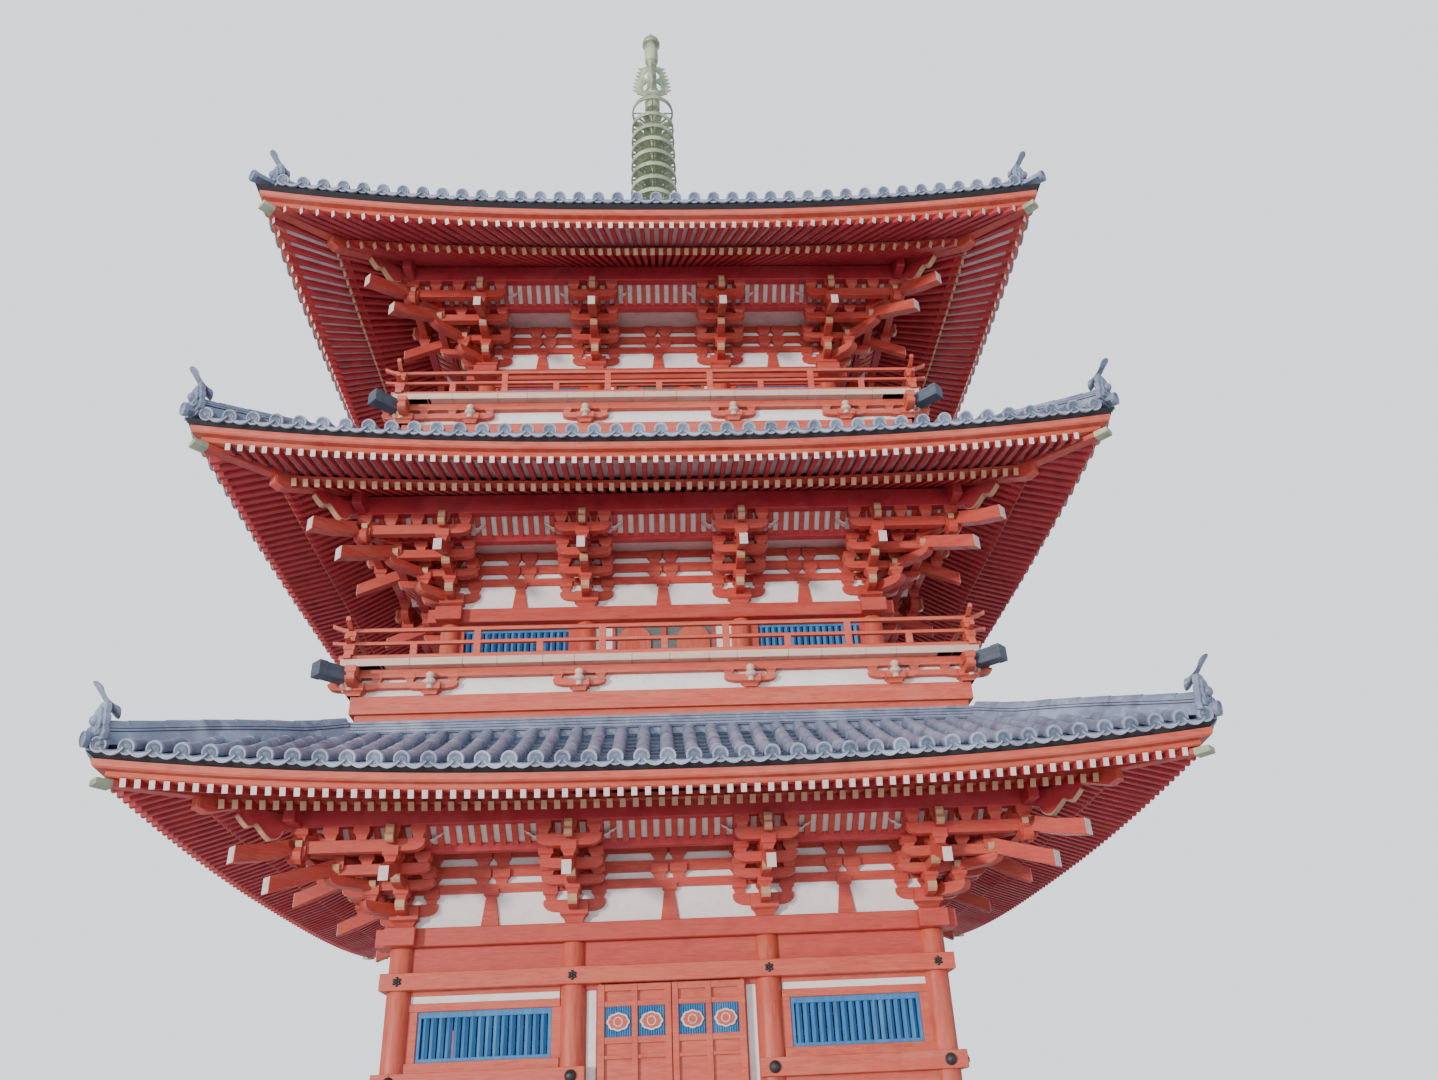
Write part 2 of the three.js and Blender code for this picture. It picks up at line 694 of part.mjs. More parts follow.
function finialShaft() {
  const bowl = [[0, 500 + GAP], [330, 500 + GAP], [330, 560], [310, 680], [240, 800], [130, 880]];
  const lotus = [[130, 920], [240, 990], [330, 1130], [330, 1160], [110, 1180], [70, 1250]];
  const rings = [];
  for (let i = 0; i < RING_COUNT; i += 1) {
    const radius = 425 - i * 5;
    const height = TOP_RING - FINIAL_FOOT - (RING_COUNT - 1 - i) * RING_SPACING;
    rings.push([SHAFT_RADIUS, height - 20], [radius, height - 45]);
    rings.push([radius, height + 45], [SHAFT_RADIUS, height + 20]);
  }
  const top = TOP_RING - FINIAL_FOOT + 110;
  return turned([...bowl, ...lotus, ...rings, [SHAFT_RADIUS, top], [0, top]]);
}

function flame() {
  const foot = TOP_RING - FINIAL_FOOT + 110 + GAP;
  const right = [[50, 0], [230, 120], [330, 380], [250, 620], [170, 760], [60, 900]];
  const left = right.map(([x, height]) => [-x, height]).reverse();
  const outline = [...right, ...left].map(([x, height]) => [x, foot + height]);
  const plate = frontPlate(outline, 0, 30);
  return join([plate, plate.clone().rotateZ(Math.PI / 2), column(0, 0, 60, foot, foot + 900, 8)]);
}

function jewel() {
  const foot = TOP_RING - FINIAL_FOOT + 1010 + 2 * GAP;
  const tip = FINIAL_TIP - FINIAL_FOOT;
  const lower = [[0, 0], [70, 0], [140, 110], [150, 200], [90, 320], [70, 380]];
  const upper = [[120, 450], [150, 560], [110, 680]];
  const profile = [...lower, ...upper].map(([radius, height]) => [radius, foot + height]);
  return turned([...profile, [30, tip - 60], [0, tip]]);
}

// The scene: one named mesh for each piece, in a group for each level.

const pagoda = new THREE.Group();

function addPiece(parent, name, shape, colour, finish = {}) {
  const geometry = shape.isBufferGeometry ? shape : toGeometry(shape);
  const look = { color: colour, roughness: 0.6, metalness: 0, ...finish };
  const material = new THREE.MeshStandardMaterial(look);
  const mesh = new THREE.Mesh(geometry, material);
  mesh.name = name;
  parent.add(mesh);
  return mesh;
}

function level(height) {
  const group = new THREE.Group();
  group.position.z = height;
  pagoda.add(group);
  return group;
}

function addGroundStorey() {
  const storey = STOREYS[0];
  addPiece(pagoda, 'podium', podium(), STONE);
  addPiece(pagoda, 'front_steps', steps(), STONE);
  addPiece(pagoda, 'ground_floor', floorSlab(), VERMILION);
  addPiece(pagoda, 'first_pillars', pillars(storey, UPPER_TIE[1] + GAP), VERMILION);
  addPiece(pagoda, 'first_upper_tie_beam', upperTie(storey), VERMILION);
  const sides = [
    ['front', 'right', 'left'], ['right', 'back', 'front'], ['back', 'left', 'right'], ['left', 'front', 'back'],
  ];
  sides.forEach(([side, rightEnd, leftEnd], turn) => {
    const right = toGeometry(bayWall(storey));
    const left = mirrored([toGeometry(bayWall(storey))])[0];
    [[rightEnd, right], [leftEnd, left]].forEach(([end, shape]) => {
      const wall = addPiece(pagoda, `${side}_wall_${end}`, shape, VERMILION);
      wall.rotation.z = turn * Math.PI / 2;
    });
  });
  ['front_right', 'back_right', 'back_left', 'front_left'].forEach((corner, turn) => {
    const tie = addPiece(pagoda, `${corner}_waist_tie`, waistTie(storey), VERMILION);
    tie.rotation.z = turn * Math.PI / 2;
  });
  addPiece(pagoda, 'front_door_frame', doorFrame(storey), VERMILION);
  addPiece(pagoda, 'front_left_door', doorLeaf(storey, -1), VERMILION);
  addPiece(pagoda, 'front_right_door', doorLeaf(storey, 1), VERMILION);
  ['right', 'back', 'left'].forEach((side, index) => {
    const doors = addPiece(pagoda, `${side}_doors`, closedDoors(storey), VERMILION);
    doors.rotation.z = (index + 1) * Math.PI / 2;
  });
}

function addUpperStorey(index) {
  const storey = STOREYS[index];
  const balcony = BALCONIES[index - 1];
  const base = level(balcony.floor);
  const wallBelow = balconyBase(balcony, STOREYS[index - 1], ROOFS[index - 1]);
  addPiece(base, `${balcony.name}_balcony_base`, wallBelow, VERMILION);
  addPiece(base, `${balcony.name}_deck`, deck(balcony), WEATHERED_WOOD);
  addPiece(base, `${balcony.name}_railing`, railing(balcony), VERMILION);
  addPiece(pagoda, `${storey.name}_pillars`, pillars(storey, storey.plateLow - UPPER_TIE_DEPTH), VERMILION);
  addPiece(pagoda, `${storey.name}_walls`, upperWalls(storey), PLASTER);
}

function addEaves(storey, roof, isTop) {
  const group = level(storey.plateTop);
  addPiece(pagoda, `${storey.name}_wall_plate`, wallPlate(storey), VERMILION);
  addPiece(group, `${storey.name}_brackets`, brackets(storey, roof), DEEP_VERMILION);
  addPiece(group, `${storey.name}_eave_purlin`, eavePurlin(storey, roof), DEEP_VERMILION);
  addPiece(group, `${storey.name}_rafters`, rafters(storey, roof), DEEP_VERMILION);
  addPiece(group, `${storey.name}_fascia`, fascia(storey, roof), VERMILION);
  addPiece(group, `${storey.name}_roof_tiles`, tiles(storey, roof), TILE_GREY);
  addPiece(group, `${storey.name}_ridges`, ridges(storey, roof, !isTop), TILE_GREY);
}

function addFinial() {
  const group = level(FINIAL_FOOT);
  const bronze = { roughness: 0.5, metalness: 0.8 };
  addPiece(group, 'finial_base', finialBase(), BRONZE, bronze);
  addPiece(group, 'finial_shaft', finialShaft(), BRONZE, bronze);
  addPiece(group, 'finial_flame', flame(), BRONZE, bronze);
  addPiece(group, 'finial_jewel', jewel(), BRONZE, bronze);
}

addGroundStorey();
addUpperStorey(1);
addUpperStorey(2);
STOREYS.forEach((storey, index) => addEaves(storey, ROOFS[index], index === STOREYS.length - 1));
addFinial();

export default pagoda;
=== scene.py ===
# Looks of a three-storied timber pagoda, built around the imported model.
# Metres, +Z up, front faces -Y. Heights called "above the plate" count from the top of a storey's wall plate.

from math import cos, pi, radians, sin, sqrt

import bpy
import numpy as np
from mathutils import Matrix, Vector


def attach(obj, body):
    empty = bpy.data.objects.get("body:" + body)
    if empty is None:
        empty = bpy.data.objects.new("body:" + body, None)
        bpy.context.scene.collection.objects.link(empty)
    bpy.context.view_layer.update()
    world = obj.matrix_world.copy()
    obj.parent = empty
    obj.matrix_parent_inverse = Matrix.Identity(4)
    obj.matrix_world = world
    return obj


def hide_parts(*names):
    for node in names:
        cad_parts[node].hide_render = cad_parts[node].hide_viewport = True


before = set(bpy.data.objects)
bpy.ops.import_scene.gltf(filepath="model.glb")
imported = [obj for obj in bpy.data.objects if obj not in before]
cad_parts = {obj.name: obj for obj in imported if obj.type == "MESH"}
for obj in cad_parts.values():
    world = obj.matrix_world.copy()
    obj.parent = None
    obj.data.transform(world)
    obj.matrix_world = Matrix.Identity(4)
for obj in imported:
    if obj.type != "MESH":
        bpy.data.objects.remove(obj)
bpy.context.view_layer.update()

MAIN_BODY = "pagoda"
RAFTER_PITCH = 0.12

# Storeys: half width at the pillar centres, half width of the centre bay, floor, wall plate, pillar radius.
STOREYS = [
    {
        "name": "first", "half": 2.64, "bay": 0.96, "floor": 0.96, "plate_low": 3.41, "plate_top": 3.585,
        "pillar": 0.123
    },
    {
        "name": "second", "half": 2.46, "bay": 0.90, "floor": 6.215, "plate_low": 6.975, "plate_top": 7.145,
        "pillar": 0.115
    },
    {
        "name": "third", "half": 2.28, "bay": 0.84, "floor": 9.76, "plate_low": 10.57, "plate_top": 10.745,
        "pillar": 0.110
    },
]

# Roofs: the fascia's half width and top, the underside of the base rafters' tips, half width and height
# of the tiles' upper end, how far the tiles bulge up beside the hips, the corners' lift, and how high
# the eave discs' centres are over the fascia's top. The other heights are above the wall plate.
ROOFS = [
    {
        "reach": 4.870, "fascia_top": 0.890, "base_tip": 0.756, "crown_half": 3.25,
        "crown_top": 1.880, "hip_fill": 0.08, "lift": 0.230, "disc": 0.104,
    },
    {
        "reach": 4.740, "fascia_top": 0.859, "base_tip": 0.689, "crown_half": 3.09,
        "crown_top": 1.865, "hip_fill": 0.07, "lift": 0.243, "disc": 0.104,
    },
    {
        "reach": 4.615, "fascia_top": 0.663, "base_tip": 0.591, "crown_half": 0.33,
        "crown_top": 3.730, "hip_fill": 0.0, "lift": 0.279, "disc": 0.135,
    },
]
CORNER_SPREAD = 0.050
CURVE_POWER = 2.5

# Eaves, outwards from the wall or back from the fascia.
PURLIN_FRONT = 0.960
PURLIN_BACK = 0.850
PURLIN_LOW = 0.815
RAFTER_SEAT = 1.045
BASE_TIP_BACK = 0.690
BASE_RAFTER = (0.056, 0.085)
FLYING_RAFTER = (0.052, 0.075)
EAVE_BAR = 0.055
FLYING_TIP_BACK = 0.100
LOWER_FASCIA = 0.050
UPPER_FASCIA = 0.071
LOWER_FASCIA_BACK = 0.090
FASCIA_BACK = 0.170
BOARD = 0.018

# Tiles.
TILE_PITCH = 0.229
TILE_BED = 0.048
TILE_OVERHANG = 0.060
TILE_EDGE = 0.155
TILE_SAG = 1.22
ROUND_TILE = 0.290
ROUND_RADIUS = 0.064
DISC_RADIUS = 0.073

QUARTERS = [Matrix.Rotation(turn * pi / 2, 4, "Z") for turn in range(4)]
HALF_TURN = Matrix.Rotation(pi, 4, "Z")
DIAGONAL = Matrix.Rotation(-pi * 0.75, 4, "Z")
OUTWARD = Matrix.Rotation(-pi / 2, 4, "Z")
MIRROR = Matrix.Scale(-1, 4, (1, 0, 0))


# Camera: the photograph's viewpoint, solved from the building's proportions.

def add_camera():
    place = Vector((-0.065, -14.318, 1.55))
    yaw, pitch, roll = 0.0641, 0.5022, -0.0489
    forward = Vector((sin(yaw) * cos(pitch), cos(yaw) * cos(pitch), sin(pitch)))
    level_right = Vector((cos(yaw), -sin(yaw), 0))
    level_up = level_right.cross(forward)
    right = level_right * cos(roll) + level_up * sin(roll)
    up = level_up * cos(roll) - level_right * sin(roll)
    data = bpy.data.cameras.new("camera")
    data.sensor_width = 36
    data.lens = 27.73
    data.clip_end = 400
    camera = bpy.data.objects.new("camera", data)
    turn = Matrix((right, up, -forward)).transposed().to_4x4()
    camera.matrix_world = Matrix.Translation(place) @ turn
    bpy.context.scene.collection.objects.link(camera)
    bpy.context.scene.camera = camera


# Modelling helpers.

def select_only(piece):
    bpy.ops.object.select_all(action="DESELECT")
    piece.select_set(True)
    bpy.context.view_layer.objects.active = piece


def settle(piece):
    """Puts the object's place, turn and scale into its mesh."""
    select_only(piece)
    bpy.ops.object.transform_apply(location=True, rotation=True, scale=True)
    return piece


def bevel(piece, width, segments=1):
    select_only(piece)
    modifier = piece.modifiers.new("edges", "BEVEL")
    modifier.width = width
    modifier.segments = segments
    modifier.limit_method = "ANGLE"
    bpy.ops.object.modifier_apply(modifier=modifier.name)
    return piece


def beam(low, high, edge=0.006):
    """A squared timber or slab between two corners, its edges eased."""
    size = [b - a for a, b in zip(low, high)]
    middle = [(a + b) / 2 for a, b in zip(low, high)]
    bpy.ops.mesh.primitive_cube_add(size=1, location=middle, scale=size)
    piece = settle(bpy.context.object)
    return bevel(piece, edge) if edge else piece


def plate(outline, thickness, edge=0.0):
    """A plate across y = 0, from an outline of (x, z) points."""
    bpy.ops.mesh.primitive_circle_add(vertices=len(outline), fill_type="NGON")
    piece = bpy.context.object
    for vertex, (x, z) in zip(piece.data.vertices, outline):
        vertex.co = (x, -thickness / 2, z)
    select_only(piece)
    bpy.ops.object.mode_set(mode="EDIT")
    bpy.ops.mesh.select_all(action="SELECT")
    bpy.ops.mesh.extrude_region_move(TRANSFORM_OT_translate={"value": (0, thickness, 0)})
    bpy.ops.mesh.select_all(action="SELECT")
    bpy.ops.mesh.normals_make_consistent(inside=False)
    bpy.ops.object.mode_set(mode="OBJECT")
    return bevel(piece, edge) if edge else piece


def swept(outline, stations, place, closed_ends=True):
    """An outline of (u, v) points extruded along t = 0 to 1 in steps, each point then set by place(u, t, v)."""
    fill = "NGON" if closed_ends else "NOTHING"
    bpy.ops.mesh.primitive_circle_add(vertices=len(outline), fill_type=fill)
    piece = bpy.context.object
    for vertex, (u, v) in zip(piece.data.vertices, outline):
        vertex.co = (u, 0, v)
    select_only(piece)
    bpy.ops.object.mode_set(mode="EDIT")
    bpy.ops.mesh.select_all(action="SELECT")
    step = {"value": (0, 1 / stations, 0)}
    for _ in range(stations):
        if closed_ends:
            bpy.ops.mesh.extrude_region_move(TRANSFORM_OT_translate=step)
        else:
            bpy.ops.mesh.extrude_edges_move(TRANSFORM_OT_translate=step)
    bpy.ops.object.mode_set(mode="OBJECT")
    for vertex in piece.data.vertices:
        vertex.co = place(*vertex.co)
    return outward(piece)


def outward(piece):
    select_only(piece)
    bpy.ops.object.mode_set(mode="EDIT")
    bpy.ops.mesh.select_all(action="SELECT")
    bpy.ops.mesh.remove_doubles(threshold=0.0002)
    bpy.ops.mesh.normals_make_consistent(inside=False)
    bpy.ops.object.mode_set(mode="OBJECT")
    return piece


def turned(profile, steps=20):
    """A profile of (radius, height) points spun round the vertical axis."""
    bpy.ops.mesh.primitive_circle_add(vertices=len(profile), fill_type="NOTHING")
    piece = bpy.context.object
    for vertex, (radius, height) in zip(piece.data.vertices, profile):
        vertex.co = (radius, 0, height)
    select_only(piece)
    bpy.ops.object.mode_set(mode="EDIT")
    bpy.ops.mesh.select_all(action="SELECT")
    bpy.ops.mesh.spin(steps=steps, angle=2 * pi, center=(0, 0, 0), axis=(0, 0, 1))
    bpy.ops.object.mode_set(mode="OBJECT")
    return outward(piece)


def post(x, y, radius, low, high, sides=24):
    bpy.ops.mesh.primitive_cylinder_add(
        vertices=sides, radius=radius, depth=high - low, location=(x, y, (low + high) / 2)
    )
    return bevel(settle(bpy.context.object), 0.008)


def copies(unit, places):
    """One joined mesh with a copy of the unit at every place. The unit itself goes."""
    mesh = unit.data
    points = np.empty(len(mesh.vertices) * 3)
    mesh.vertices.foreach_get("co", points)
    points = points.reshape(-1, 3)
    corners = np.empty(len(mesh.loops), np.int32)
    mesh.loops.foreach_get("vertex_index", corners)
    starts = np.empty(len(mesh.polygons), np.int32)
    mesh.polygons.foreach_get("loop_start", starts)
    totals = np.empty(len(mesh.polygons), np.int32)
    mesh.polygons.foreach_get("loop_total", totals)
    stack = np.array([np.array(place) for place in places])
    count = len(stack)
    moved = np.einsum("kij,nj->kni", stack[:, :3, :3], points) + stack[:, None, :3, 3]
    result = bpy.data.meshes.new(unit.name)
    result.vertices.add(count * len(points))
    result.loops.add(count * len(corners))
    result.polygons.add(count * len(starts))
    result.vertices.foreach_set("co", moved.ravel())
    shifts = np.arange(count, dtype=np.int32)[:, None]
    result.loops.foreach_set("vertex_index", (corners[None] + shifts * len(points)).ravel())
    result.polygons.foreach_set("loop_start", (starts[None] + shifts * len(corners)).ravel())
    result.polygons.foreach_set("loop_total", np.tile(totals, count))
    result.update(calc_edges=True)
    result.shade_flat()
    joined = bpy.data.objects.new(unit.name, result)
    bpy.context.scene.collection.objects.link(joined)
    bpy.data.objects.remove(unit)
    return joined


def join(pieces):
    bpy.ops.object.select_all(action="DESELECT")
    for piece in pieces:
        piece.select_set(True)
    bpy.context.view_layer.objects.active = pieces[0]
    bpy.ops.object.join()
    return bpy.context.object


def moved(piece, matrix):
    piece.data.transform(matrix)
    return piece


def mirror_image(piece):
    return outward(moved(piece, MIRROR))


def all_sides(piece):
    """The same piece on the four sides of the building."""
    return copies(piece, QUARTERS)


def finish(piece, name, material, replaced=(), body=MAIN_BODY, smooth=None):
    """Names the piece, gives it its material and lets it ride on its body."""
    piece.name = name
    piece.data.name = name
    piece.data.materials.clear()
    piece.data.materials.append(MATERIALS[material])
    if smooth:
        select_only(piece)
        bpy.ops.object.shade_smooth_by_angle(angle=radians(smooth))
    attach(piece, body)
    if replaced:
        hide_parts(*replaced)
    return piece


def at(x=0.0, y=0.0, z=0.0):
    return Matrix.Translation((x, y, z))


# Eave geometry.

def eave_rise(storey, roof, across, half):
    start = storey["half"] + PURLIN_FRONT
    share = abs(across) ** CURVE_POWER * max(0.0, (half - start) / (roof["reach"] - start))
    return roof["lift"] * share, CORNER_SPREAD * share


def eave_point(storey, roof, across, half, height):
    """A point of the front eave: across runs from -1 to 1 between the corners, height is above the plate."""
    rise, spread = eave_rise(storey, roof, across, half)
    out = half + spread
    return Vector((across * out, -out, storey["plate_top"] + height + rise))


def rafter_under(storey, roof, half):
    tip = roof["reach"] - BASE_TIP_BACK
    slope = (RAFTER_SEAT - roof["base_tip"]) / (tip - storey["half"] - PURLIN_FRONT)
    return roof["base_tip"] + (tip - half) * slope


def eave_ring(storey, roof, outline, stations=24):
    """A board or bar that follows the eaves round all four sides, from an outline of (half, height) points."""
    side = swept(
        outline, stations, lambda half, t, height: eave_point(
            storey, roof, 2 * t - 1, half, height
        ), closed_ends=False
    )
    return outward(all_sides(side))


def lay(start, end):
    """Lays a unit timber, one metre long along +Y with its underside on z = 0, from start to end."""
    along = end - start
    side = along.normalized().cross(Vector((0, 0, 1))).normalized()
    above = side.cross(along.normalized())
    columns = Matrix((side, along, above)).transposed().to_4x4()
    return Matrix.Translation(start) @ columns


def lay_end(start, end):
    """The same turn at the far end of the timber, without its length."""
    along = (end - start).normalized()
    side = along.cross(Vector((0, 0, 1))).normalized()
    columns = Matrix((side, along, side.cross(along))).transposed().to_4x4()
    return Matrix.Translation(end) @ columns


def on_all_sides(places):
    return [turn @ place for turn in QUARTERS for place in places]


# Shader node groups: effects that several materials share.

def new_group(name, inputs, outputs):
    group = bpy.data.node_groups.new(name, "ShaderNodeTree")
    for label, kind, value in inputs:
        socket = group.interface.new_socket(label, in_out="INPUT", socket_type=kind)
        socket.default_value = value
    for label, kind in outputs:
        group.interface.new_socket(label, in_out="OUTPUT", socket_type=kind)
    return group, group.nodes.new("NodeGroupInput"), group.nodes.new("NodeGroupOutput")


def noise_chain(tree, stretch_source, scale_source, detail):
    """Object coordinates, stretched, into a noise texture."""
    coordinates = tree.nodes.new("ShaderNodeTexCoord")
    mapping = tree.nodes.new("ShaderNodeMapping")
    noise = tree.nodes.new("ShaderNodeTexNoise")
    noise.inputs["Detail"].default_value = detail
    tree.links.new(coordinates.outputs["Object"], mapping.inputs["Vector"])
    tree.links.new(stretch_source, mapping.inputs["Scale"])
    tree.links.new(mapping.outputs["Vector"], noise.inputs["Vector"])
    tree.links.new(scale_source, noise.inputs["Scale"])
    return noise


def make_patches():
    """A soft-edged mask of worn or stained patches."""
    group, inputs, outputs = new_group(
        "patches",
        [
            ("Stretch", "NodeSocketVector", (1, 1, 1)),
            ("Scale", "NodeSocketFloat", 2.0),
            ("Start", "NodeSocketFloat", 0.45),
            ("Full", "NodeSocketFloat", 0.7),
        ],
        [("Mask", "NodeSocketFloat")],
    )
    noise = noise_chain(group, inputs.outputs["Stretch"], inputs.outputs["Scale"], 6)
    spread = group.nodes.new("ShaderNodeMapRange")
    spread.interpolation_type = "SMOOTHSTEP"
    group.links.new(noise.outputs["Fac"], spread.inputs["Value"])
    group.links.new(inputs.outputs["Start"], spread.inputs["From Min"])
    group.links.new(inputs.outputs["Full"], spread.inputs["From Max"])
    group.links.new(spread.outputs["Result"], outputs.inputs["Mask"])
    return group


def make_grain():
    """Fine height lines, drawn out along the wide directions of the stretch."""
    group, inputs, outputs = new_group(
        "grain",
        [("Stretch", "NodeSocketVector", (1, 1, 1)), ("Scale", "NodeSocketFloat", 60.0)],
        [("Height", "NodeSocketFloat")],
    )
    noise = noise_chain(group, inputs.outputs["Stretch"], inputs.outputs["Scale"], 4)
    group.links.new(noise.outputs["Fac"], outputs.inputs["Height"])
    return group


# Faces that look up get lighter: settled dust, and painted light from the sky.
def make_dust_and_sky_light():
    """A mask of surfaces that face the sky."""
    group, inputs, outputs = new_group(
        "dust_and_sky_light", [("Amount", "NodeSocketFloat", 0.5)], [("Mask", "NodeSocketFloat")]
    )
    geometry = group.nodes.new("ShaderNodeNewGeometry")
    split = group.nodes.new("ShaderNodeSeparateXYZ")
    level = group.nodes.new("ShaderNodeMapRange")
    level.inputs["From Min"].default_value = 0.25
    level.inputs["From Max"].default_value = 0.95
    scaled = group.nodes.new("ShaderNodeMath")
    scaled.operation = "MULTIPLY"
    group.links.new(geometry.outputs["Normal"], split.inputs["Vector"])
    group.links.new(split.outputs["Z"], level.inputs["Value"])
    group.links.new(level.outputs["Result"], scaled.inputs[0])
    group.links.new(inputs.outputs["Amount"], scaled.inputs[1])
    group.links.new(scaled.outputs["Value"], outputs.inputs["Mask"])
    return group


def make_edge_wear():
    """A mask of edges, where paint rubs off: how far a rounded normal leans from the face's own."""
    group, inputs, outputs = new_group(
        "edge_wear", [("Reach", "NodeSocketFloat", 0.015)], [("Mask", "NodeSocketFloat")]
    )
    rounded = group.nodes.new("ShaderNodeBevel")
    rounded.samples = 4
    geometry = group.nodes.new("ShaderNodeNewGeometry")
    lean = group.nodes.new("ShaderNodeVectorMath")
    lean.operation = "DOT_PRODUCT"
    spread = group.nodes.new("ShaderNodeMapRange")
    spread.inputs["From Min"].default_value = 0.97
    spread.inputs["From Max"].default_value = 0.80
    group.links.new(inputs.outputs["Reach"], rounded.inputs["Radius"])
    group.links.new(rounded.outputs["Normal"], lean.inputs[0])
    group.links.new(geometry.outputs["Normal"], lean.inputs[1])
    group.links.new(lean.outputs["Value"], spread.inputs["Value"])
    group.links.new(spread.outputs["Result"], outputs.inputs["Mask"])
    return group


PATCHES = make_patches()
GRAIN = make_grain()
DUST_AND_SKY_LIGHT = make_dust_and_sky_light()
EDGE_WEAR = make_edge_wear()


class Finish:
    """A material being put together round one Principled shader."""

    def __init__(self, name, colour, roughness, metallic=0.0):
        self.material = bpy.data.materials.new(name)
        self.material.use_nodes = True
        self.tree = self.material.node_tree
        self.shader = self.tree.nodes["Principled BSDF"]
        self.shader.inputs["Base Color"].default_value = (*colour, 1)
        self.shader.inputs["Roughness"].default_value = roughness
        self.shader.inputs["Metallic"].default_value = metallic
        self.last = None
        self.colour = colour
        self.material.diffuse_color = (*colour, 1)

    def group(self, which, **values):
        node = self.tree.nodes.new("ShaderNodeGroup")
        node.node_tree = which
        for label, value in values.items():
            node.inputs[label].default_value = value
        return node.outputs[0]

    def tint(self, mask, colour, amount=1.0):
        """Mixes a colour in by a mask."""
        mix = self.tree.nodes.new("ShaderNodeMix")
        mix.data_type = "RGBA"
        share = self.tree.nodes.new("ShaderNodeMath")
        share.operation = "MULTIPLY"
        share.inputs[1].default_value = amount
        self.tree.links.new(mask, share.inputs[0])
        self.tree.links.new(share.outputs["Value"], mix.inputs["Factor"])
        if self.last is None:
            mix.inputs["A"].default_value = (*self.colour, 1)
        else:
            self.tree.links.new(self.last, mix.inputs["A"])
        mix.inputs["B"].default_value = (*colour, 1)
        self.last = mix.outputs["Result"]
        self.tree.links.new(self.last, self.shader.inputs["Base Color"])
        return self

    def bump(self, height, distance, strength=1.0):
        node = self.tree.nodes.new("ShaderNodeBump")
        node.inputs["Distance"].default_value = distance
        node.inputs["Strength"].default_value = strength
        self.tree.links.new(height, node.inputs["Height"])
        self.tree.links.new(node.outputs["Normal"], self.shader.inputs["Normal"])
        return self

    def vary_roughness(self, mask, low, high):
        spread = self.tree.nodes.new("ShaderNodeMapRange")
        spread.inputs["To Min"].default_value = low
        spread.inputs["To Max"].default_value = high
        self.tree.links.new(mask, spread.inputs["Value"])
        self.tree.links.new(spread.outputs["Result"], self.shader.inputs["Roughness"])
        return self


ALONG = (1.0, 1.0, 9.0)
UPRIGHT = (6.0, 6.0, 0.7)
EVEN = (1.0, 1.0, 1.0)


def painted(name, colour, worn, grime, stretch, roughness=(0.5, 0.75), edge=0.35):
    finish_ = Finish(name, colour, roughness[0])
    worn_mask = finish_.group(PATCHES, Stretch=stretch, Scale=1.3, Start=0.45, Full=0.68)
    fine_mask = finish_.group(PATCHES, Stretch=stretch, Scale=9.0, Start=0.46, Full=0.70)
    streak_mask = finish_.group(PATCHES, Stretch=stretch, Scale=5.0, Start=0.50, Full=0.72)
    grime_mask = finish_.group(PATCHES, Stretch=EVEN, Scale=3.1, Start=0.52, Full=0.85)
    finish_.tint(worn_mask, worn, 0.55).tint(fine_mask, worn, 0.45).tint(streak_mask, grime, 0.30)
    finish_.tint(grime_mask, grime, 0.35)
    if edge:
        finish_.tint(finish_.group(EDGE_WEAR, Reach=0.012), worn, edge)
    finish_.vary_roughness(worn_mask, *roughness)
    finish_.bump(finish_.group(GRAIN, Stretch=stretch, Scale=22.0), 0.0025, 0.5)
    return finish_.material


def mineral(name, colour, light, dark, scale, roughness=(0.7, 0.9), distance=0.003):
    finish_ = Finish(name, colour, roughness[0])
    pale_mask = finish_.group(PATCHES, Stretch=EVEN, Scale=scale, Start=0.45, Full=0.65)
    speckle = finish_.group(PATCHES, Stretch=EVEN, Scale=scale * 9, Start=0.5, Full=0.7)
    dark_mask = finish_.group(PATCHES, Stretch=EVEN, Scale=scale * 0.6, Start=0.52, Full=0.8)
    finish_.tint(pale_mask, light, 0.6).tint(dark_mask, dark, 0.5).tint(speckle, dark, 0.3)
    finish_.vary_roughness(pale_mask, *roughness)
    finish_.bump(finish_.group(GRAIN, Stretch=EVEN, Scale=scale * 12), distance, 0.6)
    return finish_.material


def make_tile(name, colour, light, dark):
    finish_ = Finish(name, colour, 0.45)
    pale_mask = finish_.group(PATCHES, Stretch=EVEN, Scale=1.9, Start=0.46, Full=0.66)
    fine_mask = finish_.group(PATCHES, Stretch=EVEN, Scale=14.0, Start=0.52, Full=0.70)
    dark_mask = finish_.group(PATCHES, Stretch=EVEN, Scale=4.5, Start=0.5, Full=0.75)
    # Lighter tops: settled dust, and painted light from the sky.
    dust_and_sky_mask = finish_.group(DUST_AND_SKY_LIGHT, Amount=0.5)
    finish_.tint(dust_and_sky_mask, light, 0.35).tint(pale_mask, light, 0.45)
    finish_.tint(dark_mask, dark, 0.6).tint(fine_mask, light, 0.3)
    finish_.vary_roughness(fine_mask, 0.38, 0.65)
    finish_.bump(finish_.group(GRAIN, Stretch=EVEN, Scale=40.0), 0.0015, 0.5)
    return finish_.material


def make_bronze():
    finish_ = Finish("bronze", (0.30, 0.34, 0.22), 0.5, metallic=0.35)
    patina = finish_.group(PATCHES, Stretch=EVEN, Scale=2.5, Start=0.42, Full=0.62)
    dark_mask = finish_.group(PATCHES, Stretch=UPRIGHT, Scale=1.2, Start=0.52, Full=0.75)
    finish_.tint(patina, (0.52, 0.56, 0.36), 0.8).tint(dark_mask, (0.13, 0.11, 0.07), 0.55)
    finish_.vary_roughness(patina, 0.4, 0.7)
    finish_.bump(finish_.group(GRAIN, Stretch=EVEN, Scale=30.0), 0.002, 0.5)
    return finish_.material


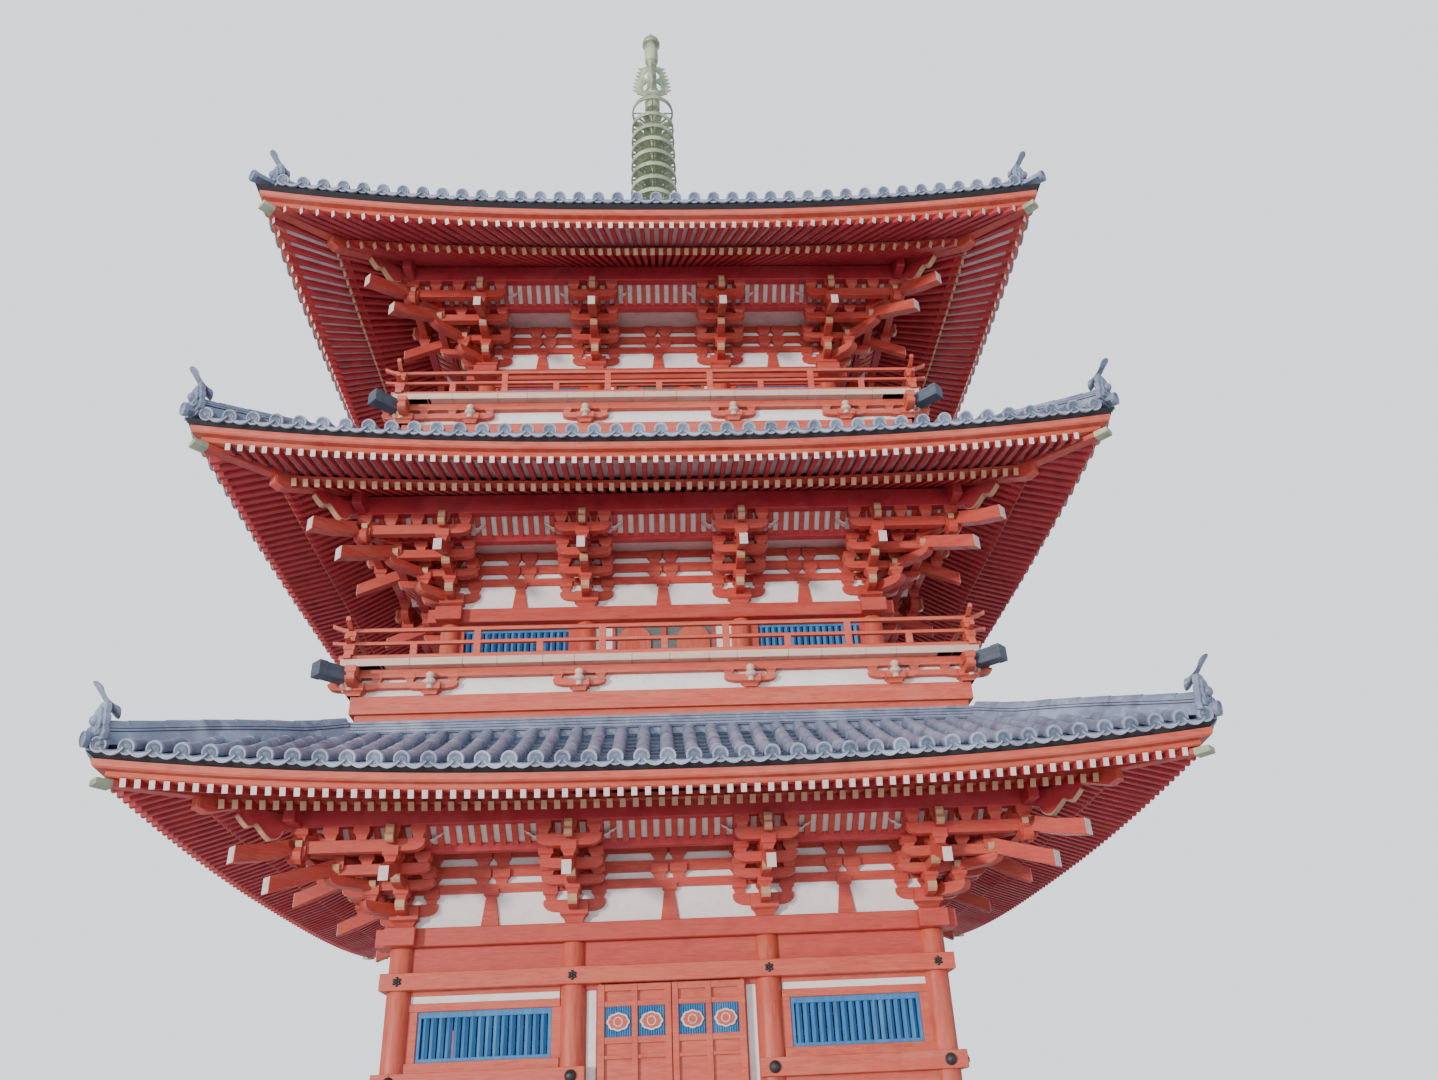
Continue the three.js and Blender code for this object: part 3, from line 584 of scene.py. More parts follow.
VERMILION = (0.48, 0.050, 0.036)
WORN_VERMILION = (0.52, 0.115, 0.075)
GRIME = (0.16, 0.022, 0.018)
MATERIALS = {
    "vermilion": painted("vermilion", VERMILION, WORN_VERMILION, GRIME, ALONG),
    "vermilion_posts": painted("vermilion_posts", (0.52, 0.075, 0.040), (0.56, 0.15, 0.095), GRIME, UPRIGHT),
    # A lighter copy of the vermilion: painted sunlight, for the fronts that stand in the light.
    "vermilion_painted_light": painted("vermilion_painted_light", (0.54, 0.080, 0.044), (0.60, 0.17, 0.11), GRIME, ALONG),
    # A darker copy of the vermilion: painted shade, for the timbers under the eaves.
    "vermilion_painted_shade": painted(
        "vermilion_painted_shade", (0.42, 0.026, 0.036), (0.48, 0.060, 0.062), (0.10, 0.008, 0.012), EVEN
    ),
    "white_paint": painted("white_paint", (0.70, 0.62, 0.60), (0.62, 0.46, 0.42), (0.36, 0.22, 0.19), EVEN),
    "ochre_paint": painted("ochre_paint", (0.52, 0.31, 0.17), (0.46, 0.20, 0.11), (0.22, 0.08, 0.05), EVEN),
    "lattice_paint": painted(
        "lattice_paint", (0.026, 0.155, 0.38), (0.08, 0.28, 0.52), (0.010, 0.05, 0.13), UPRIGHT
    ),
    "pale_wood": painted("pale_wood", (0.60, 0.40, 0.32), (0.68, 0.52, 0.42), (0.36, 0.17, 0.12), ALONG),
    "grey_board": painted("grey_board", (0.10, 0.12, 0.12), (0.20, 0.23, 0.23), (0.05, 0.05, 0.05), ALONG),
    "slate_paint": painted(
        "slate_paint", (0.055, 0.070, 0.095), (0.12, 0.15, 0.20), (0.03, 0.03, 0.04), ALONG
    ),
    "plaster": mineral(
        "plaster", (0.78, 0.75, 0.74), (0.84, 0.82, 0.81), (0.60, 0.55, 0.53), 1.4, distance=0.001
    ),
    "stone": mineral("stone", (0.36, 0.35, 0.33), (0.46, 0.45, 0.42), (0.22, 0.21, 0.19), 2.2),
    "roof_tile": make_tile("roof_tile", (0.165, 0.190, 0.275), (0.38, 0.43, 0.55), (0.05, 0.06, 0.09)),
    # A darker copy of the tile: painted shade, for the pans in the troughs between the cover tiles and for the
    # sunk faces of the discs.
    "pan_tile": make_tile("pan_tile", (0.095, 0.125, 0.185), (0.28, 0.34, 0.45), (0.03, 0.04, 0.06)),
    # A lighter copy of the tile: painted highlight, for the rims of the discs and the eave lips.
    "tile_rim_painted_highlight": make_tile("tile_rim_painted_highlight", (0.27, 0.295, 0.39), (0.50, 0.54, 0.64), (0.09, 0.10, 0.14)),
    # Near black: painted shade, for the strip over the fascia and the bed under the tiles.
    "painted_shade_black": mineral("painted_shade_black", (0.018, 0.018, 0.022), (0.04, 0.04, 0.045), (0.008, 0.008, 0.01), 3.0),
    "bronze": make_bronze(),
    "dark_iron": mineral(
        "dark_iron", (0.022, 0.022, 0.026), (0.05, 0.05, 0.055), (0.01, 0.01, 0.01), 6.0, (0.4, 0.6)
    ),
}


# Eaves: rafters, boards between them, fascia boards and hip rafters.

def roof_levels(roof):
    return {
        "tip": roof["reach"] - BASE_TIP_BACK,
        "flying_out": roof["reach"] - FLYING_TIP_BACK,
        "flying_foot": roof["base_tip"] + BASE_RAFTER[1] + EAVE_BAR,
        "flying_tip": roof["fascia_top"] - FLYING_RAFTER[1] - LOWER_FASCIA - UPPER_FASCIA,
    }


def parallel_rafters(limit):
    count = int(limit / RAFTER_PITCH)
    return [(i + 0.5) * RAFTER_PITCH for i in range(-count, count)]


def fanned_rafters(limit):
    """Rafters that fan out: 120 mm apart at the middle of a side, 195 mm at its corners."""
    places = []
    x = RAFTER_PITCH / 2
    while x < limit - 0.1:
        places += [x, -x]
        x += RAFTER_PITCH + 0.075 * (x / limit) ** 1.3
    return sorted(places)


def rafter_lines(storey, roof, fanned):
    """Start and end of each base rafter and each flying rafter of the front."""
    levels = roof_levels(roof)
    tip, out = levels["tip"], levels["flying_out"]
    inner = storey["half"] + PURLIN_BACK + 0.02
    hip = 0.09
    base, flying = [], []
    places = fanned_rafters(out) if fanned else parallel_rafters(out - hip)
    for x in places:
        share = x / out

        def point(half, height):
            across = share if fanned else x / half
            return eave_point(storey, roof, across, half, height)

        start = inner if fanned else max(inner, abs(x) + hip)
        if start < tip - 0.06:
            base.append((point(start, rafter_under(storey, roof, start)), point(tip, roof["base_tip"])))
        start = tip - 0.06 if fanned else max(tip - 0.06, abs(x) + hip)
        if start < out - 0.04:
            run = (start - tip) / (out - tip)
            height = levels["flying_foot"] + (levels["flying_tip"] - levels["flying_foot"]) * run
            flying.append((point(start, height), point(out, levels["flying_tip"])))
    return base, flying


def add_rafters(storey, roof, fanned):
    name = storey["name"]
    base, flying = rafter_lines(storey, roof, fanned)
    rows = [
        ("base", base, BASE_RAFTER, "ochre_paint"),
        ("flying", flying, FLYING_RAFTER, "white_paint"),
    ]
    for row, lines, (width, height), end_paint in rows:
        unit = beam((-width / 2, 0, 0), (width / 2, 1, height), 0.003)
        piece = copies(unit, on_all_sides([lay(start, end) for start, end in lines]))
        # Painted shade: the rafters take the darker vermilion.
        finish(piece, f"{name}_{row}_rafters", "vermilion_painted_shade")
        cap = beam((-width / 2 + 0.001, -0.004, 0.001), (width / 2 - 0.001, 0.0025, height - 0.001), 0)
        piece = copies(cap, on_all_sides([lay_end(start, end) for start, end in lines]))
        finish(piece, f"{name}_{row}_rafter_ends", end_paint)
    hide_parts(f"{name}_rafters")


def add_eave_boards(storey, roof):
    name = storey["name"]
    levels = roof_levels(roof)
    tip, out = levels["tip"], levels["flying_out"]
    inner = storey["half"] + PURLIN_BACK
    reach = roof["reach"]
    base_top = roof["base_tip"] + BASE_RAFTER[1]
    inner_top = rafter_under(storey, roof, inner) + BASE_RAFTER[1]
    board = eave_ring(storey, roof, [
        (inner, inner_top), (tip - 0.02, base_top), (tip - 0.02, base_top + BOARD), (inner, inner_top + BOARD),
    ])
    # Painted shade: the boards over the base rafters take the darker vermilion.
    finish(board, f"{name}_base_boards", "vermilion_painted_shade")
    bar = eave_ring(storey, roof, [
        (tip - 0.085, base_top), (tip - 0.012, base_top), (tip - 0.012, base_top + EAVE_BAR),
        (tip - 0.085, base_top + EAVE_BAR),
    ])
    finish(bar, f"{name}_eave_bar", "vermilion")
    foot, end = levels["flying_foot"] + FLYING_RAFTER[1], levels["flying_tip"] + FLYING_RAFTER[1]
    flying_board = eave_ring(storey, roof, [
        (tip - 0.08, foot), (out - 0.03, end), (out - 0.03, end + BOARD), (tip - 0.08, foot + BOARD),
    ])
    finish(flying_board, f"{name}_flying_boards", "white_paint")
    lower = eave_ring(storey, roof, [
        (reach - FASCIA_BACK, end), (
            reach - LOWER_FASCIA_BACK - 0.012, end
        ), (reach - LOWER_FASCIA_BACK, end + 0.012),
        (reach - LOWER_FASCIA_BACK, end + LOWER_FASCIA), (reach - FASCIA_BACK, end + LOWER_FASCIA),
    ])
    top = roof["fascia_top"]
    upper = eave_ring(storey, roof, [
        (reach - FASCIA_BACK, end + LOWER_FASCIA), (reach - 0.02, end + LOWER_FASCIA),
        (reach - 0.004, end + LOWER_FASCIA + 0.016), (reach, top), (reach - FASCIA_BACK, top),
    ])
    boards = join([lower, upper])
    # Painted light: the fascia boards take the lighter vermilion.
    finish(boards, f"{name}_fascia_boards", "vermilion_painted_light", [f"{name}_fascia"])
    # Painted shade: the strip over the fascia is near black.
    strip = eave_ring(storey, roof, [
        (reach - FASCIA_BACK, top), (reach - 0.02, top), (reach - 0.005, top + TILE_BED), (
            reach - FASCIA_BACK, top + TILE_BED
        ),
    ])
    finish(strip, f"{name}_dark_strip", "painted_shade_black")


def corner_plate(storey, outline, width, edge=0.006):
    """An upright plate out along the front left diagonal. Distances out are along one side of the building."""
    piece = plate([(out * sqrt(2), height) for out, height in outline], width, edge)
    half = storey["half"]
    return moved(piece, at(-half, -half, storey["plate_top"]) @ DIAGONAL)


def add_hip_rafters(storey, roof):
    name, half = storey["name"], storey["half"]
    levels = roof_levels(roof)
    tip = levels["tip"]
    seat = half + PURLIN_FRONT
    end = tip + 0.07
    low = rafter_under(storey, roof, tip) + eave_rise(storey, roof, 1, tip)[0] - 0.045
    reach = roof["reach"] + 0.01
    flying_low = levels["flying_tip"] + eave_rise(storey, roof, 1, reach)[0] - 0.035
    inner = PURLIN_BACK
    start_low = rafter_under(storey, roof, seat) - 0.025 + 0.05
    base = corner_plate(storey, [
        (inner, start_low + 0.06), (
            end - half - 0.10, low + 0.012
        ), (end - half - 0.06, low), (end - half, low + 0.03),
        (end - half, low + 0.135), (inner, start_low + 0.20),
    ], 0.13)
    flying = corner_plate(storey, [
        (tip - half - 0.15, low + 0.11), (end - half, low + 0.125), (
            reach - half - 0.02, flying_low + 0.004
        ),
        (reach - half, flying_low + 0.02), (
            reach - half, flying_low + 0.058
        ), (tip - half - 0.15, low + 0.20),
    ], 0.12)
    timber = all_sides(join([base, flying]))
    finish(timber, f"{name}_hip_rafters", "vermilion")
    end_block = corner_plate(storey, [
        (end - half - 0.004, low + 0.03), (
            end - half + 0.012, low + 0.035
        ), (end - half + 0.012, low + 0.125),
        (end - half - 0.004, low + 0.13),
    ], 0.12, 0.003)
    # Painted light: the hip ends take the lighter vermilion.
    finish(all_sides(end_block), f"{name}_hip_ends", "vermilion_painted_light")
    cap = corner_plate(storey, [
        (reach - half - 0.10, flying_low - 0.006), (reach - half + 0.006, flying_low + 0.004),
        (reach - half + 0.006, flying_low + 0.062), (reach - half - 0.10, flying_low + 0.064),
    ], 0.132, 0.004)
    finish(all_sides(cap), f"{name}_hip_caps", "bronze")


# Tiles and ridges.

HIP_CLEAR = 0.10
PAN_EXPOSURE = 0.19
LONG_STEP = 1 / 400


def tile_point(storey, roof, across, share, above=0.0):
    """A point of the tiled slope of the front: share runs from 0 at the eave to 1 at the crown."""
    edge = roof["reach"] + TILE_OVERHANG
    low = roof["fascia_top"] + TILE_EDGE
    half = edge + (roof["crown_half"] - edge) * share
    height = low + (roof["crown_top"] - low) * max(share, 0.0) ** TILE_SAG
    height += roof["hip_fill"] * sin(pi * min(max(share, 0.0), 1.0)) * min(abs(across), 1.0) ** 3
    return eave_point(storey, roof, across, half, height + above)


def course_shares(storey, roof, exposure):
    """Shares up the slope at equal distances, from the eave on."""
    shares, run, goal = [0.0], 0.0, exposure
    last = tile_point(storey, roof, 0, 0)
    for i in range(1, int(1 / LONG_STEP) + 1):
        point = tile_point(storey, roof, 0, i * LONG_STEP)
        run += (point - last).length
        last = point
        if run >= goal:
            shares.append(i * LONG_STEP)
            goal += exposure
    return shares


def tile_columns(roof):
    count = int((roof["reach"] + TILE_OVERHANG - HIP_CLEAR) / TILE_PITCH)
    return [i * TILE_PITCH for i in range(-count, count + 1)]


def column_rows(storey, roof, shares, x, above, clear=HIP_CLEAR):
    """Start and end of each tile of the column at x, from the eave to the crown or the hip."""
    edge = roof["reach"] + TILE_OVERHANG
    run = edge - roof["crown_half"]
    stop = min(1.0, (edge - abs(x) - clear) / run)
    if stop <= 0.01:
        return []
    points = []
    for share in [s for s in shares if s < stop - 0.004] + [stop]:
        half = edge - run * share
        points.append(tile_point(storey, roof, x / half, share, above))
    return list(zip(points, points[1:]))


def round_tile():
    """A half-round cover tile, one metre long, a little wider at its lower end."""
    arch = [(cos(pi * i / 8), sin(pi * i / 8)) for i in range(9)]
    outline = arch + [(-1, -0.5), (1, -0.5)]

    def place(u, t, v):
        radius = ROUND_RADIUS + 0.003 - 0.007 * t
        return Vector((u * radius, t * 1.02, v * radius))

    return swept(outline, 1, place)


def pan_tile():
    """A hollow-faced tile between two columns, one metre long, its lower end standing over the next tile."""
    half, sag, thick = 0.094, 0.040, 0.020
    upper = [(half * s, sag * s * s) for s in (-1, -0.4, 0.4, 1)]
    lower = [(x, z - thick) for x, z in reversed(upper)]
    return swept(upper + lower, 1, lambda u, t, v: Vector((u, t * 1.05, v + 0.020 * (1 - t))))


def facing_disc(profile, sides):
    return moved(turned(profile, sides), Matrix.Rotation(-pi / 2, 4, "X"))


def eave_disc():
    """The round end of a cover tile, with the rim round its sunk face."""
    return facing_disc([
        (0, 0.030), (DISC_RADIUS, 0.030), (DISC_RADIUS, -0.010), (DISC_RADIUS - 0.004, -0.014),
        (DISC_RADIUS - 0.015, -0.014), (DISC_RADIUS - 0.018, -0.004), (0, -0.004),
    ], 16)


def disc_face():
    """The sunk face of a disc: a ring round a plain boss."""
    profile = [(0, -0.003), (0.050, -0.003), (0.044, -0.010), (0.034, -0.006), (0.022, -0.006), (0, -0.014)]
    return facing_disc(profile, 12)


def eave_pan():
    """The hanging lip of the lowest tile between two discs, with its rim."""
    half, sag = 0.100, 0.042
    top = [(half * s, sag * s * s) for s in (-1, -0.66, -0.33, 0, 0.33, 0.66, 1)]
    low = [(half * s, -0.034 + (sag + 0.014) * s * s) for s in (1, 0.66, 0.33, 0, -0.33, -0.66, -1)]
    plate_ = swept(top + low, 1, lambda u, t, v: Vector((u, 0.022 * t - 0.006, v)))
    rim_low = [(x, z - 0.004) for x, z in low]
    rim_high = [(x * 0.97, z + 0.009) for x, z in reversed(low)]
    rim = swept(rim_low + rim_high, 1, lambda u, t, v: Vector((u, 0.014 * t - 0.016, v)))
    return join([plate_, rim])


def add_tiles(storey, roof):
    name = storey["name"]
    disc = roof["disc"] - TILE_EDGE
    columns = tile_columns(roof)
    long_shares = course_shares(storey, roof, ROUND_TILE)
    pan_shares = course_shares(storey, roof, PAN_EXPOSURE)
    rounds, discs, pans, lips = [], [], [], []
    for x in columns:
        rows = column_rows(storey, roof, long_shares, x, disc)
        rounds += [lay(start, end) for start, end in rows]
        if rows:
            start, end = rows[0]
            discs.append(lay_end(end, start + (start - end).normalized() * 0.002))
    for x in columns[:-1]:
        middle = x + TILE_PITCH / 2
        rows = column_rows(storey, roof, pan_shares, middle, disc - 0.062, HIP_CLEAR / 2)
        pans += [lay(start, end) for start, end in rows]
        if rows:
            start, end = rows[0]
            flat = (end - start) * Vector((1, 1, 0))
            lips.append(lay_end(start - flat, start + Vector((0, 0, 0.012))))
    covers = copies(round_tile(), on_all_sides(rounds))
    finish(covers, f"{name}_cover_tiles", "roof_tile", [f"{name}_roof_tiles"], smooth=40)
    pans_ = copies(pan_tile(), on_all_sides(pans))
    # Painted shade: the pans take the darker tile.
    finish(pans_, f"{name}_pan_tiles", "pan_tile", smooth=40)
    ends = copies(eave_disc(), on_all_sides([place @ HALF_TURN for place in discs]))
    # Painted highlight: the discs take the lighter tile.
    finish(ends, f"{name}_tile_discs", "tile_rim_painted_highlight", smooth=35)
    faces = copies(disc_face(), on_all_sides([place @ HALF_TURN for place in discs]))
    # Painted shade: the sunk disc faces take the darker tile.
    finish(faces, f"{name}_disc_faces", "pan_tile", smooth=35)
    lip = copies(eave_pan(), on_all_sides(lips))
    # Painted highlight: the eave lips take the lighter tile.
    finish(lip, f"{name}_eave_lips", "tile_rim_painted_highlight", smooth=35)
    add_tile_bed(storey, roof, disc)


def add_tile_bed(storey, roof, disc):
    """The bed that the tiles lie on, from the fascia up to the crown, near black: painted shade."""
    reach, top = roof["reach"], roof["fascia_top"]
    edge = reach + TILE_OVERHANG
    run = edge - roof["crown_half"]
    height = top + TILE_EDGE

    def surface(share, under):
        half = edge - run * share
        return half, height + (roof["crown_top"] - height) * share ** TILE_SAG - under

    depth = 0.075 - disc
    slope = [surface(share, depth) for share in (0.02, 0.2, 0.4, 0.6, 0.8, 1.0)]
    under = [surface(share, depth + 0.05) for share in (1.0, 0.8, 0.6, 0.4, 0.2)]
    outline = [
        (reach - FASCIA_BACK, top + 0.001), (reach - 0.02, top + 0.001), (edge - 0.014, top + TILE_BED)
    ]
    bed = eave_ring(storey, roof, outline + slope + under)
    finish(bed, f"{storey['name']}_tile_bed", "painted_shade_black")


def hip_point(storey, roof, share, sideways, above):
    """A point on or beside the hip at the front left corner."""
    return tile_point(storey, roof, -1, share, above) + Vector((1, -1, 0)) * (sideways / sqrt(2))


def hip_course(storey, roof, outline, start, end, stations=14):
    return swept(
        outline, stations, lambda u, t, v: hip_point(storey, roof, start + (end - start) * t, u, v)
    )


def ring(outline):
    """A level moulding round the square plan, from (half, height) points."""
    side = swept(
        outline, 1, lambda half, t, height: Vector(((2 * t - 1) * half, -half, height)), closed_ends=False
    )
    return outward(all_sides(side))


def band(inner, outer, low, high):
    """A level band of squared section round the square plan, between two half widths and two heights."""
    return ring([(inner, low), (outer, low), (outer, high), (inner, high)])


def ogre_tile():
    """The end tile of a ridge: a stepped shield with a plain boss, facing -Y, its foot at z = 0."""
    right = [
        (0.17, -0.05), (0.185, 0.02), (0.16, 0.06), (0.135, 0.075), (0.15, 0.12), (0.135, 0.18), (0.105, 0.20),
        (0.11, 0.25), (0.085, 0.30), (0.045, 0.325),
    ]
    outline = right + [(-x, z) for x, z in reversed(right)]
    back = plate(outline, 0.055, 0.006)
    face = moved(plate([(x * 0.72, z * 0.74 + 0.03) for x, z in outline], 0.03, 0.006), at(0, -0.036, 0))
    bpy.ops.mesh.primitive_uv_sphere_add(segments=14, ring_count=8, radius=0.052, location=(0, -0.05, 0.145))
    boss = settle(bpy.context.object)
    curls = []
    for side in (-1, 1):
        bpy.ops.mesh.primitive_torus_add(
            major_radius=0.034, minor_radius=0.013, major_segments=14, minor_segments=6,
            location=(side * 0.095, -0.052, 0.065), rotation=(pi / 2, 0, 0),
        )
        curls.append(settle(bpy.context.object))
    return join([back, face, boss, *curls])


def horn_tile(start, lean, rise, radius):
    """A round tile that sticks out over a ridge's end and curls up, with a flared end."""
    circle = [(cos(2 * pi * i / 14), sin(2 * pi * i / 14)) for i in range(14)]

    def place(u, t, v):
        size = radius * (0.95 - 0.25 * t + 0.42 * max(0.0, t - 0.72))
        size = size if t < 0.99 else size * 1.12
        tilt = 0.25 + 0.75 * t
        centre = Vector((0, -start - lean * t, rise * t ** 1.5))
        return centre + Vector((u * size, -v * size * sin(tilt), v * size * cos(tilt)))

    return swept(circle, 10, place)


def add_ridges(storey, roof, is_top):
    name = storey["name"]
    courses = []
    wide, layer_height, groove = 0.105, 0.030, 0.010
    top_share, cap_height = 0.972, 0.094
    courses.append(hip_course(
        storey, roof, [(-0.13, -0.09), (0.13, -0.09), (0.10, 0.03), (-0.10, 0.03)], 0.035, top_share
    ))
    for i in range(2):
        low = 0.03 + i * layer_height
        half = wide - i * 0.012
        layer = [
            (half - 0.026, low), (half - 0.026, low + groove), (half, low + groove),
            (half - 0.004, low + layer_height)
        ]
        layer += [(-x, v) for x, v in reversed(layer)]
        courses.append(hip_course(storey, roof, layer, 0.04, top_share))
    shares = course_shares(storey, roof, ROUND_TILE * 0.8)
    stops = [0.045] + [share for share in shares if 0.07 < share < top_share - 0.03] + [top_share]
    points = [hip_point(storey, roof, share, 0, cap_height) for share in stops]
    cap = copies(round_tile(), [lay(start, end) for start, end in zip(points, points[1:])])
    low_points = [hip_point(storey, roof, share, 0, -0.02) for share in (-0.004, 0.05)]
    nose = copies(round_tile(), [lay(*low_points)])
    foot = hip_point(storey, roof, 0.040, 0, 0)
    facing = Matrix.Translation(foot) @ Matrix.Rotation(-pi / 4, 4, "Z")
    ogre = moved(ogre_tile(), facing)
    horn = horn_tile(-0.12, 0.212, 0.20, 0.062)
    horn = moved(horn, facing @ at(0, 0, 0.26))
    disc = moved(eave_disc(), lay_end(low_points[1], low_points[0]) @ HALF_TURN)
    ridge = all_sides(join([*courses, cap, nose, ogre, horn, disc]))
    finish(ridge, f"{name}_hip_ridges", "roof_tile", [f"{name}_ridges"], smooth=35)
    half, level = roof["crown_half"], storey["plate_top"] + roof["crown_top"]
    crown = []
    depth, layers, above, under = (0.17, 6, 0.225, 0.10) if is_top else (0.125, 4, 0.07, 0.065)
    low, step = level - under, above + under
    crown.append(band(half + 0.004, half + depth - 0.045, low - 0.07, low + 0.004))
    for i in range(layers):
        start = low + step * i / layers
        end = low + step * (i + 1) / layers
        out = half + depth - 0.008 * i
        crown.append(ring([
            (half + 0.004, start), (out - 0.016, start), (out - 0.016, start + 0.010),
            (out, start + 0.010), (out, end), (half + 0.004, end),
        ]))
    finish(join(crown), f"{name}_crown_courses", "roof_tile")


# Brackets: a stepped set over every pillar. Heights are above the wall plate, and distances
# are from the pillars' line.

ARM_WIDTH = 0.096
ARM_REACH = 0.315
ARM_CURVE = 0.140
ARM_END_FLAT = 0.30
BLOCK_SPACING = 0.245
BLOCK_HALF = 0.074
WALL_BLOCK_HALF = 0.086
BLOCK_EARS = 0.045
WALL_EARS = 0.070
STEP_OUT = 0.29
TAIL_SLOPE = 0.402
TAIL_TIP = (1.125, 0.328)
CROSS_ARMS = [
    (0.0, 0.125, 0.243, 0.335), (0.29, 0.335, 0.430, 0.50), (0.58, 0.430, 0.530, 0.583),
    (0.87, 0.578, 0.695, 0.80)
]
OUTWARD_ARMS = [(0.36, 0.125, 0.240), (0.65, 0.335, 0.430)]
WALL_BEAMS = [(0.335, 0.426), (0.493, 0.606), (0.685, 0.775)]


def squared(profile):
    """A square block from (half width, height) points."""
    piece = turned([(half * sqrt(2), height) for half, height in profile], 4)
    return moved(piece, Matrix.Rotation(pi / 4, 4, "Z"))


def bearing_blocks(places, ears=BLOCK_EARS):
    """Bearing blocks at (x, out, low, high, half width). Their ears hold the timber above by its sides."""
    unit = squared([(0, 0), (0.62, 0), (0.66, 0.14), (0.78, 0.30), (1, 0.42), (1, 1), (0, 1)])
    spots = []
    for x, out, low, high, half in places:
        spots.append(at(x, -out, low) @ Matrix.Diagonal((half, half, high + ears - low, 1)))
    return copies(unit, spots)


def end_curve(low, high):
    """How an arm's end curves back and up from its underside."""
    rise = (high - low) * (1 - ARM_END_FLAT)
    return [(ARM_CURVE * (1 - sin(a)), low + rise * (1 - cos(a))) for a in (0, 0.4, 0.8, 1.2, pi / 2)]


def arm(start, end, low, high, round_start=True, round_end=True, width=ARM_WIDTH):
    """A bracket arm along X. Its ends curve up from below."""
    curve = end_curve(low, high)
    right = [(end - x, z) for x, z in curve] if round_end else [(end, low)]
    left = [(start + x, z) for x, z in curve] if round_start else [(start, low)]
    outline = left[::-1] + right + [(end, high), (start, high)]
    return plate(outline, width, 0.004)


def arm_end_paint(end, low, high):
    """The painted end of an arm along X, a skin over its upright end and the top of the curve."""
    skin = 0.003
    outer = [(end - x + skin, z - skin) for x, z in end_curve(low, high)[2:]] + [(end + skin, high - skin)]
    inner = [(end - x - skin, z + skin) for x, z in end_curve(low, high)[2:]] + [(end - skin, high - skin)]
    return plate(outer + inner[::-1], ARM_WIDTH - 0.004)


def tail_rafter(tip_out, tip_height, start_out, width, depth):
    """A slanting lever arm that ends in an upright cut, along X."""
    def line(out):
        return tip_height + (tip_out - out) * TAIL_SLOPE

    return plate([
        (start_out, line(start_out) - depth / 2), (tip_out, tip_height - depth / 2),
        (tip_out, tip_height + depth / 2), (start_out, line(start_out) + depth / 2),
    ], width, 0.004)


def tail_end(tip_out, tip_height, width, depth, stretch=1.0):
    """The painted end of a tail rafter, a sleeve a hair larger than the timber."""
    length = 0.005 * stretch
    rise = 0.005 * TAIL_SLOPE
    half = depth / 2 - 0.003
    return plate([
        (tip_out - length, tip_height - half + rise), (tip_out + 0.002, tip_height - half),
        (tip_out + 0.002, tip_height + half), (tip_out - length, tip_height + half + rise),
    ], width - 0.006)


def arm_past_corner(out):
    """How far a cross arm runs on past a corner pillar."""
    return out + 0.10 if out else 0.0


def stepped_set(side):
    """The arms and blocks over a front pillar. At a corner, side is -1 or 1 and the arms run on."""
    parts, blocks = [], [(0, 0, 0, 0.165, 0.14)]
    for out, low, high, top in CROSS_ARMS:
        far = arm_past_corner(out) if side else ARM_REACH
        start, end = (-far, ARM_REACH) if side < 0 else (-ARM_REACH, far)
        cross = arm(start, end, low, high)
        parts.append(moved(cross, at(0, -out, 0)))
        spots = {0.0, BLOCK_SPACING, -BLOCK_SPACING}
        if side:
            spots = {0.0, -side * BLOCK_SPACING}
            spots |= {side * STEP_OUT * i for i in range(1, round(out / STEP_OUT) + 1)}
        blocks += [(x, out, high, top, BLOCK_HALF) for x in spots]
    for reach, low, high in OUTWARD_ARMS:
        parts.append(moved(arm(0, reach, low, high, round_start=False), OUTWARD))
    blocks.append((0, STEP_OUT, 0.24, 0.335, BLOCK_HALF))
    blocks.append((0, 3 * STEP_OUT, 0.48, 0.578, BLOCK_HALF))
    parts.append(moved(tail_rafter(*TAIL_TIP, 0.10, ARM_WIDTH, 0.14), OUTWARD))
    nose = plate([(0.91, 0.655), (1.00, 0.635), (1.030, 0.660), (1.025, 0.808), (0.91, 0.812)], 0.084, 0.005)
    parts.append(moved(nose, OUTWARD))
    if side:
        lobe = [
            (0.80, 0.585), (0.82, 0.515), (0.87, 0.475), (0.93, 0.480), (0.975, 0.525), (0.985, 0.585),
            (0.965, 0.640), (0.80, 0.650),
        ]
        lobe = moved(plate(lobe, ARM_WIDTH + 0.006, 0.006), at(0, -3 * STEP_OUT, 0))
        parts.append(lobe if side > 0 else mirror_image(lobe))
    parts.append(bearing_blocks(blocks))
    return join(parts)


def set_paint(side):
    """The painted ends of a set: white on the tail rafter, ochre on the arms and the nose."""
    white = moved(tail_end(*TAIL_TIP, ARM_WIDTH, 0.14), OUTWARD)
    ochre = [plate([
        (1.010, 0.640), (1.046, 0.655), (1.058, 0.700), (1.040, 0.730), (1.056, 0.770), (1.046, 0.806),
        (1.010, 0.812),
    ], 0.078, 0.004)]
    ochre += [arm_end_paint(*outward_arm) for outward_arm in OUTWARD_ARMS]
    ochre = moved(join(ochre), OUTWARD)
    if side:
        ends = [moved(
            arm_end_paint(arm_past_corner(out), low, high), at(0, -out, 0)
        ) for out, low, high, _ in CROSS_ARMS[1:]]
        ends = join(ends)
        ends = ends if side > 0 else mirror_image(ends)
        ochre = join([ochre, ends])
    return white, ochre


def brace(side):
    """A thin curved strip from a set's top arm up to the ribbed ceiling."""
    curve = [(0.330, 0.700), (0.365, 0.705), (0.395, 0.735), (0.425, 0.742), (0.455, 0.775), (0.500, 0.800)]
    piece = plate([*curve, *[(x, z + 0.014) for x, z in curve[::-1]]], 0.10)
    piece = moved(piece, at(0, -0.72, 0))
    return piece if side > 0 else mirror_image(piece)


